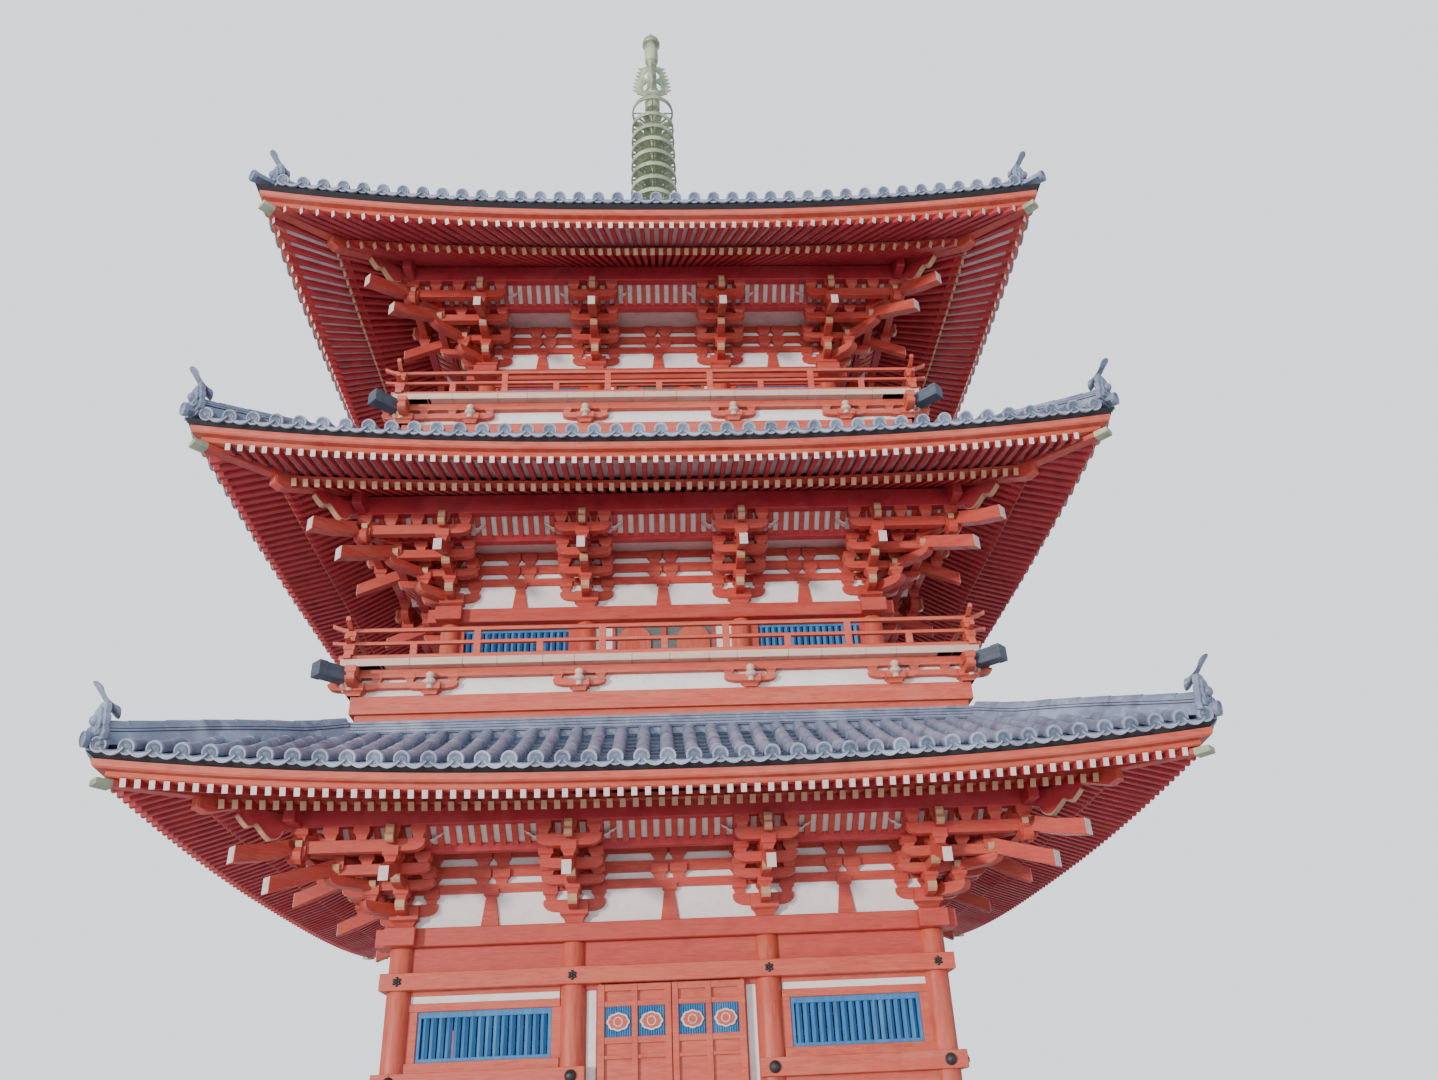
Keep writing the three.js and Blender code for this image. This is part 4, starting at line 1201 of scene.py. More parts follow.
def corner_set():
    """The front left corner's diagonal arms, its two tail rafters and the carved nose under the hip."""
    root = sqrt(2)
    parts = []
    for reach, low, high in [*OUTWARD_ARMS, (0.98, 0.578, 0.695)]:
        parts.append(arm(0, reach * root, low, high, round_start=False, width=0.12))
    tails = [
        (0.155, [(1.331, 0.490), (1.130, 0.545), (0.45, 0.860)]),
        (0.155, [(1.070, 0.262), (0.800, 0.405), (0.25, 0.700)]),
    ]
    for depth, line in tails:
        low = [(out * root, height - depth / 2) for out, height in line]
        high = [(out * root, height + depth / 2) for out, height in line[::-1]]
        parts.append(plate(low + high, 0.120, 0.004))
    arms = moved(join(parts), DIAGONAL)
    blocks = []
    for out, low, high in [
        (0.29, 0.24, 0.335), (0.58, 0.430, 0.52), (0.87, 0.50, 0.60), (0.87, 0.695, 0.80)
    ]:
        blocks.append((-out, out, low, high, BLOCK_HALF * 1.05))
    whites = [tail_end(line[0][0] * root, line[0][1], 0.120, depth, 1.1) for depth, line in tails]
    lobes = [
        (1.020, 0.755), (1.030, 0.705), (1.060, 0.672), (1.095, 0.664), (1.125, 0.690), (1.150, 0.720),
        (1.175, 0.752), (1.195, 0.778), (1.212, 0.782), (1.232, 0.758), (1.262, 0.752), (1.298, 0.790),
        (1.335, 0.842),
    ]
    body = plate([
        *[(x * root, z + 0.010) for x, z in lobes],
        (1.335 * root, 0.93), (0.95 * root, 0.93), (0.95 * root, 0.80),
    ], 0.070, 0.003)
    rim = plate(
        [*[(x * root, z) for x, z in lobes], *[(x * root, z + 0.014) for x, z in lobes[::-1]]], 0.078
    )
    painted_parts = moved(join(whites), DIAGONAL), moved(rim, DIAGONAL)
    return join([arms, bearing_blocks(blocks)]), moved(body, DIAGONAL), *painted_parts


def add_brackets(storey):
    name, half, bay = storey["name"], storey["half"], storey["bay"]
    plate_top = storey["plate_top"]
    parts, whites, ochres, strips = [], [], [], []
    for x, side in [(-half, -1), (-bay, 0), (bay, 0), (half, 1)]:
        place = at(x, -half, plate_top)
        parts.append(moved(stepped_set(side), place))
        white, ochre = set_paint(side)
        whites.append(moved(white, place))
        ochres.append(moved(ochre, place))
        strips += [moved(brace(turn), place) for turn in (-1, 1) if turn != side]
    diagonal, carved, white, rim = corner_set()
    place = at(-half, -half, plate_top)
    parts.append(moved(diagonal, place))
    whites.append(moved(white, place))
    ochres.append(moved(rim, place))
    arms = all_sides(join(parts))
    finish(arms, f"{name}_bracket_sets", "vermilion", [f"{name}_brackets"])
    finish(all_sides(join(whites)), f"{name}_tail_ends", "white_paint")
    finish(all_sides(join(ochres)), f"{name}_carved_noses", "ochre_paint")
    finish(all_sides(join(strips)), f"{name}_curved_strips", "white_paint")
    # Painted shade: the carved plates take the darker vermilion.
    finish(all_sides(moved(carved, place)), f"{name}_carved_plates", "vermilion_painted_shade")
    add_wall_beams(storey)


def add_wall_beams(storey):
    """The beams that run along the wall between the sets, with struts, blocks and plaster between them."""
    name, half, bay, top = storey["name"], storey["half"], storey["bay"], storey["plate_top"]
    beams = [band(half - 0.05, half + 0.05, top + low, top + high) for low, high in WALL_BEAMS]
    centres = [-(half + bay) / 2, 0, (half + bay) / 2]
    blocks, struts = [], []
    slots = [(0.426, 0.493), (0.606, 0.685)]
    for low, high in slots:
        for x in (-half, -bay, bay, half):
            spots = [x + shift for shift in (-BLOCK_SPACING, 0, BLOCK_SPACING)]
            blocks += [(spot, 0, low, high, WALL_BLOCK_HALF) for spot in spots if abs(spot) <= half]
        blocks += [(x + shift, 0, low, high, WALL_BLOCK_HALF) for x in centres for shift in (-0.097, 0.097)]
    for x in centres:
        struts.append(moved(
            plate([(-0.0925, 0), (0.0925, 0), (0.0575, 0.275), (-0.0575, 0.275)], 0.085, 0.004),
            at(x, -half, top)
        ))
    blocks += [(x, 0, 0.265, 0.300, 0.075) for x in centres]
    between = moved(bearing_blocks(blocks, WALL_EARS), at(0, -half, top))
    fill = all_sides(join([between, *struts]))
    finish(join([*beams, fill]), f"{name}_wall_beams", "vermilion")
    panel = band(half - 0.03, half + 0.018, top, top + 0.70)
    finish(panel, f"{name}_wall_plaster", "plaster")


def add_purlin(storey, roof):
    """The eave purlin, the beam of the second step, and the flat and ribbed ceilings behind them."""
    name, half, top = storey["name"], storey["half"], storey["plate_top"]
    out = half + PURLIN_FRONT
    purlin_top = rafter_under(storey, roof, out) - 0.002
    past = 0.25
    width = PURLIN_FRONT - PURLIN_BACK
    purlin = beam((-out - past, -out, top + PURLIN_LOW), (out + past, -out + width, top + purlin_top), 0.006)
    step = half + 2 * STEP_OUT
    through = beam(
        (-step - 0.32, -step - 0.05, top + 0.618), (step + 0.32, -step + 0.05, top + 0.700), 0.005
    )
    timbers = all_sides(join([purlin, through]))
    # Painted shade: the purlin and the through beam take the darker vermilion.
    finish(timbers, f"{name}_purlin", "vermilion_painted_shade", [f"{name}_eave_purlin"])
    flat = ring([
        (half + 0.04, top + 0.776), (step + 0.010, top + 0.690), (step + 0.010, top + 0.710),
        (half + 0.04, top + 0.796)
    ])
    finish(flat, f"{name}_flat_ceiling", "white_paint")
    foot, head = half + 0.63, half + PURLIN_BACK
    board = ring([
        (foot - 0.01, top + 0.702), (head + 0.01, top + 0.852), (head + 0.01, top + 0.872),
        (foot - 0.01, top + 0.722)
    ])
    finish(board, f"{name}_ribbed_boards", "white_paint")
    start = Vector((0, -foot + 0.004, top + 0.660))
    end = Vector((0, -head - 0.01, top + 0.832))
    places = []
    for x in parallel_rafters(head):
        if min(abs(abs(x) - pillar_x) for pillar_x in (storey["bay"], half)) > 0.03:
            places.append(at(x, 0, 0) @ lay(start, end))
    rib = beam((-0.030, 0, 0), (0.030, 1, 0.045), 0.004)
    finish(copies(rib, on_all_sides(places)), f"{name}_ribs", "vermilion")


# Ground storey: pillars, tie beams, windows and doors.

TIE_FACE = 2.81
WALL_FACE = 2.655
WALL_BACK = 2.55
WAIST_TIE = (2.125, 2.288)
UPPER_TIE = (3.012, 3.170)
WAIST_TIE_END = 0.83
FLOOR = 0.96
LEAF_FACE = 2.75
BAR_COUNT = 16


def mirrored(piece):
    """The same piece beside its mirror image across x = 0."""
    return outward(copies(piece, [Matrix.Identity(4), MIRROR]))


def bars_between(start, end, low, high, out, count, radius):
    """Upright lattice bars of diamond section between two x values."""
    bpy.ops.mesh.primitive_cylinder_add(
        vertices=4, radius=radius, depth=high - low, location=(0, -out, (low + high) / 2)
    )
    unit = settle(bpy.context.object)
    pitch = (end - start) / count
    return copies(unit, [at(start + pitch * (i + 0.5), 0, 0) for i in range(count)])


def crossed(out, half_width, length, low, high, edge):
    """Four beams that cross over the corners, the side pair a hair thinner than the front and back pair."""
    front = beam((-length, -out - half_width, low), (length, -out + half_width, high), edge)
    side = beam((-out - half_width, -length, low + 0.0015), (-out + half_width, length, high - 0.0015), edge)
    return copies(join([front, side]), [QUARTERS[0], QUARTERS[2]])


def add_pillars(storey, low, high, head_low, replaced):
    """Round pillars with the head tie beams let in between them."""
    half, bay, radius = storey["half"], storey["bay"], storey["pillar"]
    bpy.ops.mesh.primitive_cylinder_add(
        vertices=36, radius=radius, depth=high - low, location=(0, -half, (low + high) / 2)
    )
    unit = bevel(settle(bpy.context.object), 0.010, 2)
    posts = copies(unit, on_all_sides([at(x, 0, 0) for x in (-half, -bay, bay)]))
    finish(posts, f"{storey['name']}_round_pillars", "vermilion_posts", replaced, smooth=40)
    tie = band(half - 0.045, half + 0.045, head_low, high - 0.002)
    finish(tie, f"{storey['name']}_head_ties", "vermilion")


def add_wall_plate(storey):
    name, half = storey["name"], storey["half"]
    timbers = crossed(half, 0.15, half + 0.25, storey["plate_low"], storey["plate_top"], 0.008)
    finish(timbers, f"{name}_plate_timbers", "vermilion", [f"{name}_wall_plate"])


def rosette():
    """A six-petalled nail cover facing -Y."""
    bpy.ops.mesh.primitive_uv_sphere_add(
        segments=8, ring_count=6, radius=0.017, location=(0, -0.006, 0.027), scale=(0.85, 0.6, 1.15)
    )
    petal = settle(bpy.context.object)
    petals = copies(petal, [Matrix.Rotation(i * pi / 3, 4, "Y") for i in range(6)])
    bpy.ops.mesh.primitive_uv_sphere_add(segments=10, ring_count=6, radius=0.015, location=(0, -0.010, 0))
    return join([petals, settle(bpy.context.object)])


def stud():
    """A domed nail cover facing -Y, on a thin collar."""
    profile = [
        (0, 0.0), (0.056, 0.0), (0.056, 0.008), (0.050, 0.012), (0.047, 0.026), (0.036, 0.041),
        (0.018, 0.050), (0, 0.053)
    ]
    return moved(turned(profile, 20), Matrix.Rotation(pi / 2, 4, "X"))


def add_ground_ties(storey):
    half, bay = storey["half"], storey["bay"]
    low, high = UPPER_TIE
    upper = ring([
        (half + 0.02, low), (TIE_FACE - 0.006, low), (TIE_FACE, low + 0.006),
        (TIE_FACE, high - 0.006), (TIE_FACE - 0.006, high), (half + 0.02, high),
    ])
    # Painted light: the upper ties take the lighter vermilion.
    finish(upper, "first_upper_ties", "vermilion_painted_light", ["first_upper_tie_beam"])
    inner = WALL_FACE - 0.02
    right = beam((WAIST_TIE_END, -TIE_FACE, WAIST_TIE[0]), (TIE_FACE, -inner, WAIST_TIE[1]), 0.006)
    left = beam((-inner, -TIE_FACE, WAIST_TIE[0]), (-WAIST_TIE_END, -inner, WAIST_TIE[1]), 0.006)
    waist = all_sides(join([right, left]))
    corners = [f"{corner}_waist_tie" for corner in ("front_right", "back_right", "back_left", "front_left")]
    # Painted light: the waist ties take the lighter vermilion.
    finish(waist, "waist_ties", "vermilion_painted_light", corners)
    level = (UPPER_TIE[0] + UPPER_TIE[1]) / 2
    covers = copies(rosette(), on_all_sides([at(x, -TIE_FACE, level) for x in (-half, -bay, bay, half)]))
    finish(covers, "nail_rosettes", "dark_iron", smooth=50)
    level = (WAIST_TIE[0] + WAIST_TIE[1]) / 2
    studs = copies(stud(), on_all_sides([at(x, -TIE_FACE, level) for x in (-half, -bay, bay, half)]))
    finish(studs, "nail_domes", "dark_iron", smooth=50)


def add_ground_windows():
    """The windows of the ground storey with their frames, lattice and the plaster strip over them."""
    low, high = 2.378, 2.830
    frame_parts = [
        beam((1.08, -2.690, 2.824), (2.56, -WALL_BACK, 2.900), 0.005),
        beam((1.08, -2.672, 2.966), (2.56, -WALL_BACK, 3.03), 0.004),
        beam((1.08, -2.700, 2.20), (2.56, -WALL_BACK, low), 0.005),
        beam((1.07, -2.680, low - 0.01), (1.160, -WALL_BACK, high), 0.005),
        beam((2.440, -2.680, low - 0.01), (2.56, -WALL_BACK, high), 0.005),
    ]
    frames = all_sides(mirrored(join(frame_parts)))
    walls = ["front_wall_right", "front_wall_left", "right_wall_back", "right_wall_front",
             "back_wall_left", "back_wall_right", "left_wall_front", "left_wall_back"]
    # Painted light: the window frames take the lighter vermilion.
    finish(frames, "window_frames", "vermilion_painted_light", walls)
    strip = beam((1.09, -2.662, 2.895), (2.55, -WALL_BACK, 2.970), 0)
    strips = all_sides(mirrored(strip))
    finish(strips, "window_plaster_strips", "plaster")
    lattice = [
        beam((1.160, -2.668, 2.768), (2.440, -2.60, 2.826), 0.004),
        beam((1.160, -2.668, low), (2.440, -2.60, 2.414), 0.004),
        beam((1.160, -2.665, low + 0.002), (1.196, -2.602, 2.824), 0.004),
        beam((2.404, -2.665, low + 0.002), (2.440, -2.602, 2.824), 0.004),
        bars_between(1.200, 2.400, 2.410, 2.772, 2.632, BAR_COUNT, 0.031),
    ]
    bars = all_sides(mirrored(join(lattice)))
    finish(bars, "window_lattices", "lattice_paint")


def add_ground_boards(storey):
    """Upright boards under the windows, on a sill beam."""
    width = 0.181
    start = storey["bay"] + 0.10
    board = beam((0, -2.640, FLOOR + 0.02), (width - 0.003, -2.585, WAIST_TIE[0] + 0.03), 0.004)
    boards = copies(board, [at(start + i * width, 0, 0) for i in range(8)])
    finish(all_sides(mirrored(boards)), "wall_boards", "vermilion")
    sill = beam((0.78, -2.79, FLOOR + 0.001), (2.79, -2.60, FLOOR + 0.15), 0.008)
    top = beam((0.96, -2.70, 1.93), (2.62, -2.60, WAIST_TIE[0] + 0.01), 0.006)
    # Painted light: the sills take the lighter vermilion.
    finish(all_sides(mirrored(join([sill, top]))), "wall_sills", "vermilion_painted_light")


LATTICE_LOW, LATTICE_HIGH = 2.529, 2.797
LEAF_RAILS = [
    (0.972, 1.105), (1.560, 1.690), (2.335, 2.371), (2.468, LATTICE_LOW), (LATTICE_HIGH, 2.847), (2.936, 3.000),
]
LEAF_STILES = [(0.003, 0.066), (0.328, 0.388), (0.647, 0.715)]


def leaf_timber():
    """Stiles, rails and sunk panels of the right leaf."""
    low, high = LEAF_RAILS[0][0], LEAF_RAILS[-1][1]
    parts = []
    for start, end in LEAF_STILES:
        parts.append(beam((start, -LEAF_FACE, low), (end, -2.702, high), 0.006))
    for bottom, top in LEAF_RAILS:
        parts.append(beam((0.01, -LEAF_FACE + 0.007, bottom), (0.71, -2.704, top), 0.005))
    for (_, start), (end, _) in zip(LEAF_STILES, LEAF_STILES[1:]):
        for (_, bottom), (top, _) in zip(LEAF_RAILS, LEAF_RAILS[1:]):
            if bottom != LATTICE_LOW:
                parts.append(beam(
                    (start - 0.01, -LEAF_FACE + 0.034, bottom - 0.01), (end + 0.01, -2.708, top + 0.01), 0
                ))
    pivot = post(0.692, -2.726, 0.018, FLOOR + 0.001, UPPER_TIE[0] - 0.001, 16)
    return join([*parts, pivot])


def leaf_lattice():
    """The fine blue lattice in the upper panels of the right leaf."""
    parts = []
    for start, end in [(0.066, 0.328), (0.388, 0.647)]:
        parts.append(beam((start - 0.005, -LEAF_FACE + 0.034, 2.524), (end + 0.005, -2.708, 2.802), 0))
        ends = start + 0.004, end - 0.004
        parts.append(bars_between(*ends, LATTICE_LOW, LATTICE_HIGH, LEAF_FACE - 0.026, 11, 0.0105))
    return join(parts)


def leaf_medallions():
    """A plain scalloped ornament on each lattice panel of the right leaf: a pale rim, and a red face on it."""
    spots = [(0.197, 2.660), (0.518, 2.660)]
    count = 48

    def scallop(size, lift):
        points = []
        for i in range(count):
            turn = 2 * pi * i / count
            radius = size * (0.90 + 0.10 * abs(cos(4 * turn)))
            points.append((radius * 1.15 * cos(turn), radius * 0.86 * sin(turn)))
        return moved(plate(points, 0.010, 0.0015), at(0, -LEAF_FACE + lift, 0))

    rims = copies(scallop(0.098, 0.008), [at(x, 0, z) for x, z in spots])
    faces = copies(scallop(0.080, 0.003), [at(x, 0, z) for x, z in spots])
    bpy.ops.mesh.primitive_torus_add(
        major_radius=0.040, minor_radius=0.006, major_segments=24, minor_segments=6,
        location=(0, -LEAF_FACE - 0.003, 0), rotation=(pi / 2, 0, 0),
    )
    hoops = copies(settle(bpy.context.object), [at(x, 0, z) for x, z in spots])
    return join([rims, hoops]), faces


def turned_sides(piece, turns):
    return copies(piece, [QUARTERS[i] for i in turns])


def add_doors():
    """The hinged front leaves, and the closed pairs of the other three sides."""
    rest = (1, 2, 3)
    closed = ["right_doors", "back_doors", "left_doors"]
    makers = [
        # Painted light: the door timbers take the lighter vermilion.
        ("timber", leaf_timber, "vermilion_painted_light"),
        ("lattice", leaf_lattice, "lattice_paint"),
    ]
    for label, make, material in makers:
        pair = turned_sides(mirrored(make()), rest)
        finish(pair, f"closed_door_{label}", material, closed if label == "timber" else ())
        finish(
            make(), f"right_leaf_{label}", material,
            ["front_right_door"] if label == "timber" else (), "right_door"
        )
        left = mirror_image(make())
        finish(
            left, f"left_leaf_{label}", material, ["front_left_door"] if label == "timber" else (),
            "left_door"
        )
    for label, index, material in [
        # Painted light: the medallion faces take the lighter vermilion.
        ("rims", 0, "white_paint"), ("faces", 1, "vermilion_painted_light")
    ]:
        pair = turned_sides(mirrored(pick(leaf_medallions(), index)), rest)
        finish(pair, f"closed_door_medallion_{label}", material)
        finish(
            pick(leaf_medallions(), index), f"right_leaf_medallion_{label}", material,
            body="right_door"
        )
        left = mirror_image(pick(leaf_medallions(), index))
        finish(left, f"left_leaf_medallion_{label}", material, body="left_door")


def pick(pieces, index):
    """Keeps one of several pieces and removes the others."""
    for i, piece in enumerate(pieces):
        if i != index:
            bpy.data.objects.remove(piece)
    return pieces[index]


def add_door_frames():
    frame_parts = [
        beam((0.69, -2.654, FLOOR + 0.001), (0.735, -WALL_BACK, 3.02), 0.004),
        beam((0.825, -2.660, FLOOR + 0.001), (0.90, -WALL_BACK, 3.02), 0.004),
    ]
    posts = mirrored(join(frame_parts))
    head = beam((-0.90, -2.668, 2.962), (0.90, -WALL_BACK, 3.03), 0.004)
    sill = beam((-0.86, -2.654, FLOOR + 0.001), (0.86, -WALL_BACK, FLOOR + 0.061), 0.004)
    frames = all_sides(join([posts, head, sill]))
    finish(frames, "door_frames", "vermilion", ["front_door_frame"])
    strip = beam((0.73, -2.650, FLOOR + 0.10), (0.83, -2.60, 2.965), 0)
    finish(all_sides(mirrored(strip)), "door_plaster_strips", "plaster")


# Upper storeys: walls, balconies and railings.

BALCONIES = [
    {"name": "second", "edge": 3.398, "floor": 6.215, "wall": 3.250},
    {"name": "third", "edge": 3.238, "floor": 9.760, "wall": 3.090},
]


def upper_window(storey):
    """Half-bay measures of an upper storey: the window's ends, its sill and head."""
    start = storey["bay"] + storey["pillar"] + 0.090
    end = storey["half"] - storey["pillar"] - 0.045
    return start, end, storey["floor"] + 0.19, storey["plate_low"] - 0.055


def add_upper_walls(storey):
    name, half, bay = storey["name"], storey["half"], storey["bay"]
    floor, head = storey["floor"], storey["plate_low"]
    start, end, sill, lintel = upper_window(storey)
    face, back = half + 0.015, half - 0.09
    inner, outer = bay + 0.08, half - 0.08
    parts = [
        beam((inner, -face, floor + 0.002), (outer, -back, sill), 0.004),
        beam((inner, -face, lintel), (outer, -back, head - 0.005), 0.004),
        beam((inner, -face - 0.012, sill - 0.01), (start, -back, lintel + 0.01), 0.004),
        beam((end, -face - 0.012, sill - 0.01), (outer, -back, lintel + 0.01), 0.004),
        beam((0.560, -face - 0.014, floor + 0.002), (0.600, -back, head - 0.005), 0.004),
        beam((0.790, -face - 0.014, floor + 0.002), (bay - 0.02, -back, head - 0.005), 0.004),
    ]
    sides = mirrored(join(parts))
    across = [
        beam((-bay + 0.05, -face - 0.014, head - 0.035), (bay - 0.05, -back, head - 0.002), 0.004),
        beam((-0.030, -face - 0.016, floor + 0.002), (0.030, -back, head - 0.005), 0.006),
        beam(
            (-half - 0.170, -half - 0.170, floor + 0.001), (half + 0.170, -half - 0.01, floor + 0.105),
            0.006
        ),
    ]
    walls = all_sides(join([sides, *across]))
    finish(walls, f"{name}_wall_frames", "vermilion", [f"{name}_walls"])
    strips = beam((0.595, -face + 0.006, floor + 0.10), (0.795, -back, head - 0.03), 0)
    finish(all_sides(mirrored(strips)), f"{name}_door_plaster", "plaster")
    boards = beam((-0.57, -face + 0.012, floor + 0.10), (0.57, -back, head - 0.01), 0)
    finish(all_sides(boards), f"{name}_door_boards", "grey_board")
    rounded = [(
        0.34 + 0.19 * cos(a), head - 0.20 + 0.155 * sin(a)
    ) for a in [pi * i / 12 for i in range(13)]]
    leaf = moved(
        plate([(0.53, floor + 0.10), *rounded, (0.15, floor + 0.10)], 0.03, 0.003), at(0, -face - 0.002, 0)
    )
    finish(all_sides(mirrored(leaf)), f"{name}_door_panels", "vermilion_posts")
    lattice = [
        beam((start - 0.002, -face + 0.012, lintel - 0.028), (end + 0.002, -back, lintel), 0.003),
        bars_between(start, end, sill - 0.01, lintel - 0.02, half - 0.02, BAR_COUNT, 0.030),
    ]
    finish(all_sides(mirrored(join(lattice))), f"{name}_window_lattices", "lattice_paint")


def balcony_arm(x):
    """A short arm over a foot block, carrying three blocks, along the wall under a balcony."""
    parts = [moved(arm(-0.28, 0.28, 0.070, 0.150, width=0.10), at(x, 0, 0))]
    places = [(x, 0, 0, 0.075, 0.105)]
    places += [(x + shift, 0, 0.150, 0.215, 0.055) for shift in (-0.225, 0, 0.225)]
    parts.append(bearing_blocks(places))
    return join(parts)


def knob():
    """A turned wooden knob on the front of an arm."""
    profile = [
        (0, 0), (0.030, 0), (0.036, 0.022), (0.030, 0.040), (0.058, 0.060), (0.064, 0.085), (0.050, 0.108),
        (0.030, 0.116), (0.034, 0.126), (0.046, 0.145), (0.045, 0.168), (0.026, 0.188), (0, 0.196),
    ]
    return turned(profile, 16)


def add_balcony_base(balcony):
    name, wall, floor = balcony["name"], balcony["wall"], balcony["floor"]
    low = floor - 0.571
    back = wall - 0.12
    bottom = ring([
        (back, low - 0.62), (wall - 0.02, low - 0.62), (wall - 0.02, low),
        (wall + 0.03, low), (wall + 0.03, floor - 0.380), (back, floor - 0.380),
    ])
    top = band(back, wall + 0.045, floor - 0.178, floor - 0.086)
    arms = []
    spots = [-0.908, 0.908, -(wall - 0.79), wall - 0.79]
    for x in (*spots, -wall, wall):
        arms.append(balcony_arm(x))
    link = beam((wall - 0.79, -0.045, 0.085), (wall, 0.045, 0.150), 0.004)
    arms.append(mirrored(link))
    sets = moved(join(arms), at(0, -wall + 0.005, floor - 0.381))
    timber = join([bottom, top, all_sides(sets)])
    # Painted light: the balcony base timbers take the lighter vermilion.
    finish(timber, f"{name}_base_timbers", "vermilion_painted_light", [f"{name}_balcony_base"])
    panel = band(back + 0.01, wall - 0.03, floor - 0.39, floor - 0.17)
    finish(panel, f"{name}_base_plaster", "plaster")
    knobs = copies(knob(), on_all_sides([
        at(x, -wall - 0.095, floor - 0.335) for x in (*spots, wall + 0.03, -wall - 0.03)
    ]))
    finish(knobs, f"{name}_base_knobs", "pale_wood", smooth=40)
    place = at(-wall - 0.040, -wall + 0.002, floor - 0.205)
    swap = Matrix.Rotation(pi / 2, 4, "Z") @ Matrix.Scale(-1, 4, (0, 1, 0))
    noses = outward(copies(rounded_end(0.135, 0.125), [place, swap @ place]))
    # Painted light: the corner noses take the lighter vermilion.
    finish(all_sides(noses), f"{name}_corner_noses", "vermilion_painted_light")
    finish(all_sides(corner_timber(wall, floor)), f"{name}_corner_beams", "slate_paint")


def rounded_end(length, height):
    """The rounded end of a beam that runs on towards -X past a corner."""
    curve = [(
        -length + 0.045 - 0.045 * sin(a), 0.045 - 0.045 * cos(a)
    ) for a in [pi * i / 12 for i in range(7)]]
    return plate(
        [(0.06, 0), *curve, (-length, height - 0.02), (-length + 0.02, height), (0.06, height)], 0.095,
        0.004
    )


def corner_timber(wall, floor):
    """The squared end of the beam that runs out under the deck's corner, at the front left."""
    start, end = 0.04, 0.335
    low = floor - 0.250
    bar = beam((start * sqrt(2), -0.075, low), (end * sqrt(2) - 0.012, 0.075, low + 0.155), 0.004)
    cap = beam((end * sqrt(2) - 0.10, -0.082, low - 0.006), (end * sqrt(2), 0.082, low + 0.160), 0.006)
    return moved(moved(join([bar, cap]), DIAGONAL), at(-wall, -wall, 0))


def add_deck(balcony):
    """Deck boards that show at the edge, with joints between them."""
    name, edge, floor = balcony["name"], balcony["edge"], balcony["floor"]
    lengths = [0.42, 0.30, 0.55, 0.36, 0.48, 0.33, 0.61, 0.40]
    boards, x, i = [], -edge, 0
    while x < edge - 0.01:
        end = min(x + lengths[i % len(lengths)], edge)
        if edge - end < 0.15:
            end = edge
        boards.append(beam((x + 0.0015, -edge, floor - 0.083), (end - 0.0015, -edge + 0.46, floor), 0.004))
        x, i = end, i + 1
    rim = all_sides(join(boards))
    finish(rim, f"{name}_deck_edge", "pale_wood", [f"{name}_deck"])
    width = 0.20
    inner = edge - 0.46
    rows = []
    count = int(2 * inner / width)
    for k in range(count):
        start = -inner + 2 * inner * k / count
        rows.append(beam(
            (start + 0.002, -inner, floor - 0.080),
            (start + 2 * inner / count - 0.002, inner, floor - 0.002), 0
        ))
    finish(join(rows), f"{name}_deck_boards", "pale_wood")


def rail_bar(line, past, low, high, width, upturn):
    """A rail along the front whose ends run past the corner posts and turn up."""
    end = line + past

    def place(u, t, v):
        x = (2 * t - 1) * end
        run = max(0.0, (abs(x) - line) / past)
        return Vector((x, -line + u, v + upturn * run ** 2))

    depth = high - low
    outline = [
        (-width / 2, low), (width / 2, low), (width / 2, high - depth * 0.25),
        (width * 0.3, high), (-width * 0.3, high), (-width / 2, high - depth * 0.25),
    ]
    return swept(outline, 60, place)


def add_railing(balcony):
    name, floor = balcony["name"], balcony["floor"]
    line = balcony["edge"] - 0.07
    bars = [
        rail_bar(line, 0.10, floor + 0.001, floor + 0.060, 0.075, 0.0),
        rail_bar(line, 0.185, floor + 0.175, floor + 0.215, 0.045, 0.012),
        rail_bar(line, 0.205, floor + 0.325, floor + 0.370, 0.046, 0.060),
    ]
    pitch = line / 5
    for k in range(-4, 5):
        top = 0.182 if k % 2 == 0 else 0.335
        bars.append(beam(
            (k * pitch - 0.037, -line - 0.024, floor + 0.055),
            (k * pitch + 0.037, -line + 0.024, floor + top), 0.004
        ))
    rails = all_sides(join(bars))
    # Painted light: the rails take the lighter vermilion.
    finish(rails, f"{name}_rails", "vermilion_painted_light", [f"{name}_railing"])
    foot = squared([
        (0, 0.058), (0.052, 0.058), (0.046, 0.075), (0.050, 0.110), (0.058, 0.118), (0.058, 0.176),
        (0, 0.176)
    ])
    upper = squared([
        (0, 0.213), (0.052, 0.213), (0.046, 0.228), (0.050, 0.262), (0.058, 0.270), (0.058, 0.326),
        (0, 0.326)
    ])
    blocks = moved(join([foot, upper]), at(-line, -line, floor))
    finish(all_sides(blocks), f"{name}_rail_corner_blocks", "vermilion_posts")


# Finial.

FINIAL_FOOT = 14.7
TOP_RING = 18.560
RING_SPACING = 0.326
RING_GAP_TOP = 0.105
FLAME_FOOT = 18.989
JEWEL_FOOT = 19.884
FINIAL_TIP = 20.86
RING_COUNT = 9


